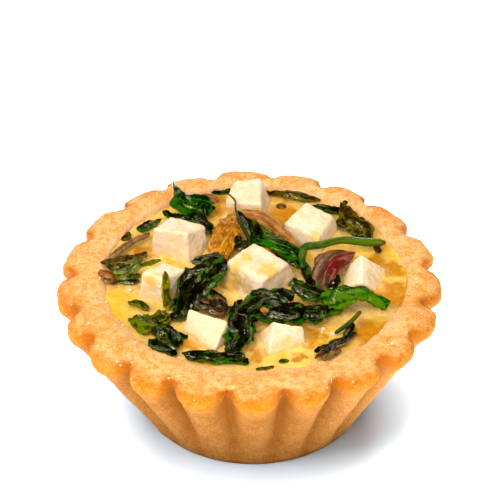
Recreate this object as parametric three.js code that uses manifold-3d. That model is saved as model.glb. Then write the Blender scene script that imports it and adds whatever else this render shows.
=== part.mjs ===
// A small fluted shortcrust quiche with a set custard, pale cheese cubes, wilted spinach and onion.
// Millimetres, +Z up. The origin is the centre of the flat base, and the front is towards -Y.

import * as THREE from 'three';
import { mergeVertices } from 'three/addons/utils/BufferGeometryUtils.js';
import { RoundedBoxGeometry } from 'three/addons/geometries/RoundedBoxGeometry.js';
import Module from 'manifold-3d';

// --- Driving dimensions: crust -------------------------------------------------------------------

const RIM_RADIUS = 44; // outermost point of a flute
const RIM_HEIGHT = 34.4; // crest of the rolled rim
const BASE_RADIUS = 26.2; // where the wall would meet the table
const BASE_SHIFT = 0.6; // the base sits this far to the right of the rim
const BASE_ROUNDING = 1; // radius taken off the bottom edge
const WALL_CURVE = 1.09; // 1 is a straight cone, more bows the wall inwards
const FLUTE_DEPTH = 5.4; // groove depth at the rim
const FLUTE_DEPTH_AT_BASE = 0.15;
const FLUTE_ROUNDNESS = 2; // exponent of the scallop: round tips, sharp valleys
const VALLEY_ROUNDING = 0.08; // half width of a valley's round bottom, as a share of half a flute
const VALLEY_ROUNDING_AT_RIM = 0.25; // the same, where the wall meets the rim
const VALLEY_ROUNDING_ON_TOP = 0.42; // the same, over the top of the rim
const CREST_RADIUS = 38.4; // ring on which the rim is highest
const KNUCKLE_HEIGHT = 4; // height of the rolled rim at a tip
const KNUCKLE_HEIGHT_IN_VALLEY = 2.4;
const LIP_DROP = 1.9; // from the crest down to the filling
const CAVITY_RADIUS = 35.1; // inner edge of the rim, at the filling
const CAVITY_SHIFT = 1.9; // the cavity sits this far towards the back
// Directions of the valleys, anticlockwise from +X: the flutes were pressed by hand.
const VALLEYS = [
  -165.5, -150.5, -132, -116, -97.5, -79, -62.5, -44, -27.5, -10,
  9, 27, 47.5, 64, 82, 102.5, 120, 137, 156, 175.5,
];
const FLOOR_HEIGHT = 5; // thickness of the base
const FLOOR_RADIUS = 21;

// --- Driving dimensions: filling and toppings ----------------------------------------------------

const CLEARANCE = 0.3; // gap kept between neighbouring pieces
const CUSTARD_LEVEL = RIM_HEIGHT - LIP_DROP;
const BLOCK_SINK = 2.5; // depth of a cheese cube in the custard
const BLOCK_EDGE = 0.24; // softness of a cube's edges, as a share of half its width
const LEAF_THICKNESS = 0.8;
const ONION_THICKNESS = 1.3;
const LEAF_RIPPLE = 0.35; // height of a leaf's waves

// --- Materials -----------------------------------------------------------------------------------

const material = (color, roughness) => new THREE.MeshStandardMaterial({ color, roughness, metalness: 0 });
const PASTRY = () => material(0xe8b269, 0.85);
const CUSTARD = () => material(0xe2b34a, 0.35);
const CHEESE = () => material(0xfbe8c6, 0.6);
const SPINACH = () => material(0x1d3312, 0.35);
const STALK = () => material(0x4c7d16, 0.35);
const BROWN_ONION = () => material(0xa4581c, 0.3);
const RED_ONION = () => material(0x7c2e30, 0.3);

// --- Solids --------------------------------------------------------------------------------------

const wasm = await Module();
wasm.setup();

const toSolid = (geometry) => {
  const bare = geometry.clone();
  bare.deleteAttribute('normal');
  bare.deleteAttribute('uv');
  const merged = mergeVertices(bare, 1e-4);
  return new wasm.Manifold(new wasm.Mesh({
    numProp: 3,
    vertProperties: new Float32Array(merged.attributes.position.array),
    triVerts: new Uint32Array(merged.index.array),
  }));
};

const toGeometry = (solid) => {
  const { vertProperties, triVerts } = solid.getMesh();
  const geometry = new THREE.BufferGeometry();
  geometry.setAttribute('position', new THREE.BufferAttribute(vertProperties, 3));
  geometry.setIndex(new THREE.BufferAttribute(triVerts, 1));
  geometry.computeVertexNormals();
  return geometry;
};

const largestPiece = (solid) => solid.decompose().reduce((a, b) => (a.volume() > b.volume() ? a : b));

const overlaps = (a, b) => {
  const p = a.boundingBox();
  const q = b.boundingBox();
  return [0, 1, 2].every((i) => p.min[i] < q.max[i] && q.min[i] < p.max[i]);
};

// Cuts every neighbour that comes near out of a solid and keeps the main piece.
const clearOf = (solid, neighbours) =>
  largestPiece(neighbours.filter((n) => overlaps(solid, n)).reduce((rest, n) => rest.subtract(n), solid));

// --- Crust ---------------------------------------------------------------------------------------

// The crest is a little lower at the two sides than at the front and the back.
const crestHeight = (angle) =>
  RIM_HEIGHT - 0.38 * Math.cos(angle) + 0.19 * Math.sin(angle) - 0.34 * Math.cos(2 * angle);

const rimRadius = (angle) =>
  RIM_RADIUS - 0.16 * Math.cos(angle) + 0.59 * Math.sin(angle) + 0.48 * Math.cos(2 * angle);

// 1 on the tip of a flute and 0 in a valley; across runs from 0 to 1 between two valleys.
const scallop = (across, rounding) => {
  const inwards = Math.min(1, Math.hypot(1 - Math.abs(2 * across - 1), rounding));
  return 1 - (1 - inwards) ** FLUTE_ROUNDNESS;
};

const WALL_STEPS = [0.05, 0.27, 0.48, 0.68, 0.86, 1];
const KNUCKLE_STEPS = [18, 36, 54, 72, 90];
const LIP_STEPS = [30, 60, 90];

const onRing = (radius, angle, height) =>
  new THREE.Vector3(radius * Math.cos(angle), radius * Math.sin(angle), height);

// The inside of the cavity, from the floor (0) up to the filling's edge (1).
const cavityPoint = (share, angle, inset = 0) => {
  const top = crestHeight(angle) - LIP_DROP;
  const radius = THREE.MathUtils.lerp(FLOOR_RADIUS, CAVITY_RADIUS, share) - inset;
  const point = onRing(radius, angle, THREE.MathUtils.lerp(FLOOR_HEIGHT, top, share));
  point.y += CAVITY_SHIFT * share;
  return point;
};

// One radial section of the crust, from the middle of its underside to the middle of its floor.
const crustSection = (angle, across, grow) => {
  const tip = scallop(across, VALLEY_ROUNDING);
  const crest = crestHeight(angle);
  const rim = rimRadius(angle) + grow;
  const knuckle = THREE.MathUtils.lerp(KNUCKLE_HEIGHT_IN_VALLEY, KNUCKLE_HEIGHT, tip);
  const foot = BASE_RADIUS + BASE_SHIFT * Math.cos(angle) + grow;
  const points = [new THREE.Vector3(0, 0, 0), onRing(foot - BASE_ROUNDING, angle, 0)];
  points.push(onRing(foot - 0.3 * BASE_ROUNDING, angle, 0.3 * BASE_ROUNDING));
  for (const share of WALL_STEPS) {
    const cone = foot + (rim - foot) * share ** WALL_CURVE;
    const rounding = THREE.MathUtils.lerp(VALLEY_ROUNDING, VALLEY_ROUNDING_AT_RIM, share ** 3);
    const groove = 1 - scallop(across, rounding);
    const depth = THREE.MathUtils.lerp(FLUTE_DEPTH_AT_BASE, FLUTE_DEPTH, share) * groove;
    points.push(onRing(cone - depth, angle, share * (crest - knuckle)));
  }
  for (const step of KNUCKLE_STEPS) {
    const turn = THREE.MathUtils.degToRad(step);
    const rounding = THREE.MathUtils.lerp(VALLEY_ROUNDING_AT_RIM, VALLEY_ROUNDING_ON_TOP, Math.sin(turn));
    const outer = rim - FLUTE_DEPTH * (1 - scallop(across, rounding));
    const radius = CREST_RADIUS + (outer - CREST_RADIUS) * Math.cos(turn);
    points.push(onRing(radius, angle, crest - knuckle * (1 - Math.sin(turn)) + grow * Math.sin(turn)));
  }
  const crestPoint = points.at(-1);
  const contact = cavityPoint(1, angle, grow);
  for (const step of LIP_STEPS) {
    const turn = THREE.MathUtils.degToRad(step);
    const point = crestPoint.clone().lerp(contact, Math.sin(turn));
    point.z = THREE.MathUtils.lerp(contact.z, crestPoint.z, Math.cos(turn));
    points.push(point);
  }
  points.push(cavityPoint(0.5, angle, grow), cavityPoint(0, angle, grow));
  points.push(new THREE.Vector3(0, 0, FLOOR_HEIGHT + grow));
  return points;
};

// Turns a closed profile round the axis, then moves every point of the lathe onto its true section.
const turnedGeometry = (segments, sectionAt) => {
  const sections = Array.from({ length: segments }, (_, i) => sectionAt(i / segments));
  const profile = sections[0].map((p) => new THREE.Vector2(Math.hypot(p.x, p.y), p.z));
  const lathe = new THREE.LatheGeometry(profile, segments);
  const position = lathe.attributes.position;
  for (let i = 0; i < position.count; i += 1) {
    const point = sections[Math.floor(i / profile.length) % segments][i % profile.length];
    position.setXYZ(i, point.x, point.y, point.z);
  }
  return lathe;
};

const STEPS_PER_FLUTE = 8;
const crustSolid = (grow = 0) => {
  const segments = VALLEYS.length * STEPS_PER_FLUTE;
  const geometry = turnedGeometry(segments, (share) => {
    const step = Math.round(share * segments);
    const flute = Math.floor(step / STEPS_PER_FLUTE);
    const across = (step % STEPS_PER_FLUTE) / STEPS_PER_FLUTE;
    const next = VALLEYS[flute + 1] ?? VALLEYS[0] + 360;
    const angle = THREE.MathUtils.degToRad(THREE.MathUtils.lerp(VALLEYS[flute], next, across));
    return crustSection(angle, across, grow);
  });
  return toSolid(geometry);
};

// --- Custard -------------------------------------------------------------------------------------

// Height of the custard's uneven top.
const custardHeight = (x, y) =>
  CUSTARD_LEVEL
  + 0.22 * Math.sin(0.21 * x + 0.9) * Math.cos(0.17 * y - 0.4)
  + 0.12 * Math.sin(0.4 * x - 0.33 * y);

const CUSTARD_SEGMENTS = 64;
const CUSTARD_RINGS = [0.25, 0.5, 0.7, 0.86, 1];
const CUSTARD_WALL_STEPS = [0, 0.5];
const CUSTARD_INSET = 0.36;

const custardSection = (share, lift) => {
  const angle = share * 2 * Math.PI;
  const middle = new THREE.Vector3(0, CAVITY_SHIFT, 0);
  const wall = cavityPoint(1, angle);
  const depth = (custardHeight(wall.x, wall.y) - FLOOR_HEIGHT) / (wall.z - FLOOR_HEIGHT);
  const edge = cavityPoint(Math.min(depth, 1), angle, CUSTARD_INSET);
  const points = [new THREE.Vector3(0, 0, FLOOR_HEIGHT + CUSTARD_INSET)];
  for (const step of CUSTARD_WALL_STEPS) {
    const point = cavityPoint(step, angle, CUSTARD_INSET);
    point.z = Math.max(point.z, FLOOR_HEIGHT + CUSTARD_INSET);
    points.push(point);
  }
  for (const ring of [...CUSTARD_RINGS].reverse()) {
    const point = middle.clone().lerp(edge, ring);
    point.z = custardHeight(point.x, point.y) + lift;
    points.push(point);
  }
  middle.z = custardHeight(middle.x, middle.y) + lift;
  points.push(middle);
  return points;
};

const custardSolid = (lift = 0) =>
  toSolid(turnedGeometry(CUSTARD_SEGMENTS, (share) => custardSection(share, lift)));

// --- Cheese cubes --------------------------------------------------------------------------------

// Each cube was cut by hand, so it has its own four top corners, anticlockwise from the back left,
// and its own four corners where it enters the custard.
const BLOCKS = [
  {
    name: 'cheese_back',
    top: [[-3.3, 31.9, 39.2], [2.5, 33.4, 39], [2.9, 24, 37.8], [-5.8, 25.2, 37.8]],
    foot: [[-3.7, 32.6], [5.5, 31.8], [3.1, 24.3], [-6, 25.8]],
  },
  {
    name: 'cheese_back_right',
    top: [[7.8, 16.9, 38], [13.2, 24, 38.6], [19.8, 20, 37.6], [15.9, 12.2, 36.8]],
    foot: [[7.1, 16], [13.8, 24.5], [21, 20.2], [16.6, 10.9]],
  },
  {
    name: 'cheese_left',
    top: [[-18.4, 17.8, 39], [-10.5, 15, 38.4], [-14.4, 9.8, 40], [-22.7, 11.3, 40.4]],
    foot: [[-18.3, 18.1], [-9.3, 13.4], [-14.4, 7.7], [-23, 12.1]],
  },
  {
    name: 'cheese_left_front',
    top: [[-20, -0.6, 39.6], [-14.7, -2.2, 39], [-19.6, -7, 39.6], [-24.8, -4.5, 40]],
    foot: [[-20.1, -0.4], [-14.6, -3.1], [-19.6, -7.9], [-26, -4.5]],
  },
  {
    name: 'cheese_middle',
    top: [[-5.3, -0.2, 40], [0.8, 7, 40], [8.9, -0.6, 39.6], [2.7, -8, 39.6]],
    foot: [[-7.7, -1], [0.7, 7.9], [11.5, 1.5], [1.6, -8.6]],
  },
  {
    name: 'cheese_front_left',
    top: [[-13.7, -15.8, 38.2], [-5.2, -19.9, 37.8], [-8.1, -25.4, 33.8], [-15.3, -17.9, 34.2]],
    foot: [[-14, -16.1], [-4.4, -20.2], [-7.9, -25.6], [-15.4, -18.1]],
  },
  {
    name: 'cheese_right',
    top: [[25.7, 3.3, 38.9], [31.6, 4.9, 33.2], [30.9, -2, 31.4], [25.5, -4, 35.8]],
    foot: [[21.5, 5.2, 32.4], [31.1, 5.2, 32.4], [30.3, -2.3, 32.4], [20.3, -1.7, 32.4]],
  },
  {
    name: 'cheese_front',
    top: [[5.1, -20.2, 38], [11.9, -20.6, 36.8], [12.3, -21.9, 32.8], [3.9, -26.4, 33]],
    foot: [[1.3, -18.5], [12.5, -19.3], [12.5, -22.1], [3.1, -25.9]],
  },
  {
    name: 'cheese_front_right',
    top: [[19.7, -8.2, 33.1], [24.8, -10, 34], [28.3, -10.3, 33.1], [22.7, -14.1, 33]],
    foot: [[19.5, -8], [24.8, -7.3], [28.5, -10.5], [22.7, -14.5]],
  },
];

// A softened cube whose corners are stretched to the eight given ones.
const blockSolid = ({ top, foot }, grow = 0) => {
  const corners = top.map((corner, i) => {
    const upper = new THREE.Vector3(...corner);
    const level = new THREE.Vector3(foot[i][0], foot[i][1], CUSTARD_LEVEL);
    const reach = (upper.z - CUSTARD_LEVEL + BLOCK_SINK) / Math.max(upper.z - CUSTARD_LEVEL, 2);
    const lower = upper.clone().lerp(level, reach);
    lower.z = CUSTARD_LEVEL - BLOCK_SINK;
    return { upper, lower };
  });
  const [backLeft, backRight, frontRight, frontLeft] = corners;
  const size = 2 + 2 * grow / 4;
  const geometry = new RoundedBoxGeometry(size, size, size, 1, BLOCK_EDGE);
  const position = geometry.attributes.position;
  for (let i = 0; i < position.count; i += 1) {
    const [across, up, deep] = [position.getX(i), position.getZ(i), position.getY(i)].map((v) => (v + 1) / 2);
    const at = (corner) => corner.lower.clone().lerp(corner.upper, up);
    const back = at(backLeft).lerp(at(backRight), across);
    const point = at(frontLeft).lerp(at(frontRight), across).lerp(back, deep);
    position.setXYZ(i, point.x, point.y, point.z);
  }
  return toSolid(geometry);
};

// --- Leaves and onion ----------------------------------------------------------------------------

// A thin wavy sheet along a route. Both faces share one grid, so they are split alike.
const sheetSolid = ({ route, width, bank = 0, thickness, ripple, camber = 0, grow = 0 }) => {
  const curve = new THREE.CatmullRomCurve3(route.map((p) => new THREE.Vector3(...p)));
  const length = curve.getLength();
  const along = Math.max(4, Math.round(length / 2));
  const across = width > 3 ? 3 : 2;
  const up = new THREE.Vector3(0, 0, 1);
  const lean = THREE.MathUtils.degToRad(bank);
  const pointAt = (u, v, face) => {
    const centre = curve.getPoint(u);
    const heading = curve.getTangent(u);
    const side = new THREE.Vector3().crossVectors(up, heading).normalize().applyAxisAngle(heading, lean);
    const normal = new THREE.Vector3().crossVectors(heading, side);
    const reach = (width / 2 + grow) * (1 - 0.45 * (Math.abs(2 * u - 1) ** 3));
    const wave = ripple * Math.sin(2.1 * u * length + 1.7 * v + route[0][0]) + camber * (1 - v * v);
    const end = grow * Math.sign(2 * u - 1) * (Math.abs(2 * u - 1) > 0.99 ? 1 : 0);
    return centre
      .addScaledVector(side, v * reach)
      .addScaledVector(heading, end)
      .addScaledVector(normal, wave + face * (thickness / 2 + grow));
  };
  const grid = new THREE.PlaneGeometry(1, 1, along, across);
  const uv = grid.attributes.uv;
  const count = uv.count;
  const points = [];
  for (const face of [1, -1]) {
    for (let i = 0; i < count; i += 1) {
      const point = pointAt(uv.getX(i), 2 * uv.getY(i) - 1, face);
      points.push(point.x, point.y, point.z);
    }
  }
  const upper = [...grid.index.array];
  const lower = [];
  for (let i = 0; i < upper.length; i += 3) {
    lower.push(upper[i] + count, upper[i + 2] + count, upper[i + 1] + count);
  }
  const columns = along + 1;
  const rim = [];
  for (let i = 0; i < along; i += 1) rim.push(i);
  for (let j = 0; j < across; j += 1) rim.push(j * columns + along);
  for (let i = along; i > 0; i -= 1) rim.push(across * columns + i);
  for (let j = across; j > 0; j -= 1) rim.push(j * columns);
  const edge = rim.flatMap((a, i) => {
    const b = rim[(i + 1) % rim.length];
    return [a, b, b + count, a, b + count, a + count];
  });
  const sheet = new THREE.BufferGeometry();
  sheet.setAttribute('position', new THREE.Float32BufferAttribute(points, 3));
  sheet.setIndex([...upper, ...lower, ...edge]);
  return toSolid(sheet);
};

// A stalk is a round bar swept along its route.
const STALK_SIDES = 7;
const stalkSolid = ({ route, width, grow = 0 }) => {
  const radius = width / 2 + grow;
  const corners = Array.from({ length: STALK_SIDES }, (_, i) => {
    const turn = (2 * Math.PI * i) / STALK_SIDES;
    return new THREE.Vector2(radius * Math.cos(turn), radius * Math.sin(turn));
  });
  const curve = new THREE.CatmullRomCurve3(route.map((p) => new THREE.Vector3(...p)));
  return toSolid(new THREE.ExtrudeGeometry(new THREE.Shape(corners), {
    extrudePath: curve,
    steps: Math.round(curve.getLength() / 2.2),
    bevelEnabled: false,
  }));
};

// Where each topping lies: its route over the custard and the cubes, its width, and how far its
// left edge is raised. The list runs from the pieces on top to those underneath.
const TOPPINGS = [
  {
    name: 'stalk_long', kind: 'stalk', width: 1.8,
    route: [
      [31.6, 11.8, 35.6], [27, 10.7, 36.6], [21.5, 10.2, 37.6], [16.5, 7.2, 38.6],
      [13, 5.6, 39.2], [12, 2.6, 39], [12.2, -1.3, 38.4],
    ],
  },
  {
    name: 'stalk_back', kind: 'stalk', width: 0.9,
    route: [[-5.1, 26.8, 39], [-3.6, 23.4, 39], [-3.1, 19.9, 39.4], [-2.1, 13.9, 39], [0, 9.8, 38]],
  },
  {
    name: 'stalk_front_right', kind: 'stalk', width: 1.2,
    route: [[25.1, -15.2, 36.6], [22.6, -17.2, 35], [19.1, -19.7, 33.8]],
  },
  {
    name: 'onion_arch', kind: 'brown', width: 2.6, bank: 50,
    route: [[-5.6, 20.8, 35.9], [-0.1, 19.9, 37.7], [5, 16, 38], [9, 10.6, 37.4], [11.5, 8.1, 36.4]],
  },
  {
    name: 'onion_red', kind: 'red', width: 5, bank: 20, camber: 0.8,
    route: [[15.6, -4.3, 35.2], [16.6, -0.8, 36.9], [19.5, 2.7, 37.4], [23.5, 6.7, 35.9]],
  },
  {
    name: 'leaf_arch', kind: 'leaf', width: 3.2, bank: 40,
    route: [[1.2, -17, 35], [0.6, -13.6, 37.6], [3, -12.4, 39], [8.6, -13.3, 38.4]],
  },
  {
    name: 'leaf_centre', kind: 'leaf', width: 4.6, bank: 20,
    route: [[1.6, -15.4, 36], [9.1, -15.8, 36.7], [13.6, -15.3, 36.4], [17.6, -12.3, 35.2]],
  },
  {
    name: 'leaf_under_stalk', kind: 'leaf', width: 3.6,
    route: [[11, -5.3, 37.4], [13.1, -8.8, 37.2], [16.1, -9.3, 36.2]],
  },
  {
    name: 'leaf_bright', kind: 'leaf', width: 5.4, bank: -20, camber: 1,
    route: [[17.6, -9.3, 35], [20.6, -10.7, 37], [25.6, -10.2, 38], [30.1, -11.7, 35]],
  },
  {
    name: 'leaf_big', kind: 'leaf', width: 6, bank: -20,
    route: [[-6.5, 0.5, 38.8], [-10.5, -3.5, 38.4], [-14, -8.6, 36.4], [-16, -13.1, 33.8]],
  },
  {
    name: 'leaf_big_flap', kind: 'leaf', width: 2.4,
    route: [[-13, 3.4, 36.4], [-10.5, 3.4, 37.9], [-8, 3.4, 38.4], [-6.5, 3.9, 37.4]],
  },
  {
    name: 'leaf_back_middle', kind: 'leaf', width: 4, bank: 20, camber: 0.5,
    route: [[-0.6, 16.4, 35.9], [3.5, 12.5, 36.6], [8, 8.6, 36.6], [11.5, 5.6, 36]],
  },
  {
    name: 'leaf_back_middle_low', kind: 'leaf', width: 3,
    route: [[6.5, 10.5, 34.2], [9.5, 7.1, 34.4], [12.5, 5.1, 34.2]],
  },
  {
    name: 'leaf_on_cube', kind: 'leaf', width: 1.6,
    route: [[-19, -6.1, 41], [-19, -8.9, 38.8], [-18.7, -9.5, 33.8]],
  },
  {
    name: 'leaf_front_middle', kind: 'leaf', width: 4.8,
    route: [[-2.5, -11.5, 35.4], [-2.4, -17.4, 36], [-2.9, -23.4, 35.4], [-4.4, -26.9, 34]],
  },
  {
    name: 'leaf_back_left', kind: 'leaf', width: 5, bank: 25,
    route: [[-18.1, 31.2, 37.9], [-16.6, 29.2, 36.4], [-14.6, 26.2, 35.9], [-10.6, 25.8, 35]],
  },
  {
    name: 'leaf_back_left_low', kind: 'leaf', width: 2.8,
    route: [[-20.6, 26.6, 33.9], [-17.1, 23.7, 34.2], [-12.6, 22.3, 34], [-8.6, 18.3, 33.6]],
  },
  {
    name: 'leaf_strip_left', kind: 'leaf', width: 2.2,
    route: [[-32.1, 2.7, 34.2], [-27.6, 1.9, 35.4], [-24.1, 0.2, 38.6], [-20.6, -1.3, 40.6]],
  },
  {
    name: 'leaf_brown_left', kind: 'leaf', width: 3.4,
    route: [[-33.1, 5.2, 33.8], [-29.6, 6.7, 34.4], [-25.6, 9.7, 33.8]],
  },
  {
    name: 'leaf_curl_left', kind: 'leaf', width: 1.4,
    route: [[-30.6, 0.1, 33.6], [-27.5, -0.6, 33.8], [-26.6, -1.3, 33.8]],
  },
  {
    name: 'leaf_left', kind: 'leaf', width: 2.6,
    route: [[-28, -7.7, 33.5], [-25.5, -9.2, 33.9], [-22.5, -11.2, 33.6]],
  },
  {
    name: 'leaf_front_left', kind: 'leaf', width: 5.6,
    route: [[-26.5, -15.7, 33.6], [-23.5, -15.6, 34], [-20, -13.1, 33.6]],
  },
  {
    name: 'leaf_front_left_dark', kind: 'leaf', width: 4,
    route: [[-22, -18.6, 33.8], [-18.5, -20.6, 34.8], [-16.4, -24, 33.8]],
  },
  {
    name: 'leaf_at_rim', kind: 'leaf', width: 2.4,
    route: [[-22.5, -22.6, 33.8], [-20, -24.6, 34.2], [-16.9, -26.5, 33.8]],
  },
  {
    name: 'leaf_front', kind: 'leaf', width: 3,
    route: [[-14.9, -27, 33.6], [-8.4, -28.5, 34], [-1.4, -28.9, 33.6]],
  },
  {
    name: 'leaf_front_right', kind: 'leaf', width: 1.8,
    route: [[14.7, -25.2, 33.6], [18.2, -23.7, 33.8], [22.7, -20.2, 33.6]],
  },
  {
    name: 'leaf_back', kind: 'leaf', width: 2.6,
    route: [[4.4, 34.8, 33.6], [9.9, 32.9, 34], [16.4, 31, 33.6]],
  },
  {
    name: 'leaf_back_right', kind: 'leaf', width: 2.2,
    route: [[15.5, 28.5, 33.8], [18.5, 27.5, 34.2], [21.5, 26.1, 33.8]],
  },
  {
    name: 'leaf_right', kind: 'leaf', width: 4.2,
    route: [[22.5, 25.1, 35], [24.5, 21.1, 34.4], [27.5, 16.2, 33.8]],
  },
  {
    name: 'onion_caramel', kind: 'brown', width: 5,
    route: [[-4.1, 18.4, 35], [-6.6, 15.9, 35.2], [-7, 11.4, 35], [-6.5, 7.4, 34.4]],
  },
  {
    name: 'onion_grey', kind: 'red', width: 4.2,
    route: [[-11.5, -8.6, 34.4], [-8, -10, 34.8], [-4.8, -11, 34.4]],
  },
  {
    name: 'onion_strip_left', kind: 'brown', width: 1.4,
    route: [[-23.6, 17.2, 34.4], [-28.1, 13.7, 34.3], [-32.6, 8.1, 34]],
  },
  {
    name: 'onion_at_rim_left', kind: 'brown', width: 2.4,
    route: [[-34.6, 2.2, 34.6], [-33.6, 1.2, 34.4], [-31.1, -0.8, 34.2]],
  },
  {
    name: 'onion_at_rim_right', kind: 'brown', width: 1.6,
    route: [[23.7, -19.7, 33.9], [19.2, -24.7, 34], [14.7, -28.2, 33.9]],
  },
];

const toppingSolid = (topping, grow = 0) => {
  if (topping.kind === 'stalk') return stalkSolid({ ...topping, grow });
  const leaf = topping.kind === 'leaf';
  const thickness = leaf ? LEAF_THICKNESS : ONION_THICKNESS;
  return sheetSolid({ ...topping, thickness, ripple: leaf ? LEAF_RIPPLE : 0, grow });
};

const TOPPING_MATERIALS = { leaf: SPINACH, stalk: STALK, brown: BROWN_ONION, red: RED_ONION };

// --- Assembly ------------------------------------------------------------------------------------

const quiche = new THREE.Group();
const add = (name, solid, look) => {
  const mesh = new THREE.Mesh(toGeometry(solid), look());
  mesh.name = name;
  quiche.add(mesh);
};

add('crust', crustSolid(), PASTRY);

const bed = [crustSolid(CLEARANCE), custardSolid(CLEARANCE)];
const blockRooms = BLOCKS.map((block) => blockSolid(block, CLEARANCE));
add('custard', clearOf(custardSolid(), blockRooms), CUSTARD);

BLOCKS.forEach((block) => add(block.name, clearOf(blockSolid(block), [bed[0]]), CHEESE));

const above = [...blockRooms];
for (const topping of TOPPINGS) {
  const solid = clearOf(toppingSolid(topping), [...bed, ...above]);
  add(topping.name, solid, TOPPING_MATERIALS[topping.kind]);
  above.push(toppingSolid(topping, CLEARANCE));
}

export default quiche;
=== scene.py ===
import math

import bmesh
import bpy
import numpy as np
from mathutils import Matrix, noise


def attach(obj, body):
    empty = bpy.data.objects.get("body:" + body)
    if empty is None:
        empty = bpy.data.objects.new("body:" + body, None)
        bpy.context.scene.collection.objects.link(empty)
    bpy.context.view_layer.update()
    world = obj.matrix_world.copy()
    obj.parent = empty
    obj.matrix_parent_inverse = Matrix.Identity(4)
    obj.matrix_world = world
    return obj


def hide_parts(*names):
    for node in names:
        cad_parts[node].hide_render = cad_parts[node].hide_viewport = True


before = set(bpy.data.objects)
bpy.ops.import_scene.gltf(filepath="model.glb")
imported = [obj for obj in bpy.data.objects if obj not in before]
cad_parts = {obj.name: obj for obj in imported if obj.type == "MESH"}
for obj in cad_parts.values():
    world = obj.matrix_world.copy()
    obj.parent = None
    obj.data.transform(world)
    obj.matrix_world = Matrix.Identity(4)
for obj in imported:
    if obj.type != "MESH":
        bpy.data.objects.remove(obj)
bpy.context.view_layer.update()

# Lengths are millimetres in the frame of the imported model: +Z up, the front towards -Y.
MM = 0.001
BODY = "root"

# --- Helpers ---

SEED_STEP = 17.31  # distance in the noise from one seed to the next


def soft_noise(points, wavelength, seed=0):
    """Noise between -1 and 1 at each point, smooth over a wavelength."""
    places = np.asarray(points, float).reshape(-1, 3) / wavelength + SEED_STEP * (seed + 1)
    values = np.array([noise.noise(place) for place in places.tolist()])
    return values.reshape(np.shape(points)[:-1])


def rough_noise(points, wavelength, octaves, seed=0):
    """Sum of soft noises, each with half the wavelength and half the height of the last."""
    return sum(soft_noise(points, wavelength / 2**i, seed + i) / 2**i for i in range(octaves))


def relief(points, height, wavelength, octaves, seed):
    """Lumps of a height and a wavelength, the rougher the more octaves they have."""
    return height * rough_noise(points, wavelength, octaves, seed)


def creases(points, wavelength, seed=0):
    """1 along thin winding lines and towards 0 between them."""
    return (1 - np.abs(soft_noise(points, wavelength, seed))) ** 3


def smoothstep(low, high, value):
    """0 at low, 1 at high, a smooth way between them and level beyond them."""
    share = np.clip((value - low) / (high - low), 0, 1)
    return share * share * (3 - 2 * share)


def between(start, end, share):
    return start + (end - start) * share


def places_at(x, y, z):
    """Places out of their coordinates, each an array or one number for all."""
    return np.stack(np.broadcast_arrays(x, y, z), axis=-1)


def mesh_arrays(shape):
    """The points and the faces of a bmesh, which is then freed."""
    points = np.array([vertex.co[:] for vertex in shape.verts])
    faces = [[vertex.index for vertex in face.verts] for face in shape.faces]
    shape.free()
    return points, faces


def joined(parts):
    """The points and the faces of one mesh, out of those of its parts."""
    points, faces = [], []
    for part_points, part_faces in parts:
        start = sum(len(others) for others in points)
        points.append(part_points)
        faces += [[corner + start for corner in face] for face in part_faces]
    return np.vstack(points), faces


def add_piece(name, points, faces, material, marks=None):
    """A smooth mesh piece. Marks are named numbers at the points, which its material reads."""
    mesh = bpy.data.meshes.new(name)
    mesh.from_pydata((np.asarray(points) * MM).tolist(), [], faces)
    mesh.shade_smooth()
    for mark, values in (marks or {}).items():
        attribute = mesh.attributes.new(mark, "FLOAT", "POINT")
        attribute.data.foreach_set("value", np.asarray(values, np.float32).ravel())
    mesh.materials.append(material)
    piece = bpy.data.objects.new(name, mesh)
    bpy.context.scene.collection.objects.link(piece)
    return piece


def dress(node, piece):
    """The piece stands for the CAD node, whose part it hides, and is attached to the body."""
    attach(piece, BODY)
    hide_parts(node)


def lay_beside(piece):
    """The piece has no CAD node of its own and is attached to the body."""
    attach(piece, BODY)


def ring_faces(rows, columns):
    """Faces of a closed skin: a stack of rings, then one pole before the first and one after the last."""
    here = np.arange(columns)
    following = (here + 1) % columns
    below, last_ring = np.arange(rows - 1)[:, None] * columns, (rows - 1) * columns
    above = below + columns
    quads = np.stack([below + here, below + following, above + following, above + here], axis=-1)
    first_pole = np.full(columns, rows * columns)
    low = np.stack([first_pole, following, here], axis=-1)
    high = np.stack([first_pole + 1, last_ring + here, last_ring + following], axis=-1)
    return quads.reshape(-1, 4).tolist() + low.tolist() + high.tolist()


def grid_normals(grid, closed):
    """Unit normals of a grid of points, whose columns may close on themselves."""
    if closed:
        across = np.roll(grid, -1, axis=1) - np.roll(grid, 1, axis=1)
    else:
        across = np.gradient(grid, axis=1)
    normals = np.cross(across, np.gradient(grid, axis=0))
    return normals / np.maximum(np.linalg.norm(normals, axis=-1, keepdims=True), 1e-9)


# --- Materials ---

# The tint of what wet and greasy surfaces reflect.
WARM_SHINE = (1.0, 0.96, 0.5)
GREEN_SHINE = (1.0, 0.94, 0.25)
GREY_SHINE = (1.0, 0.97, 0.7)
CUSTARD_SHINE = (1.0, 0.92, 0.3)


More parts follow.
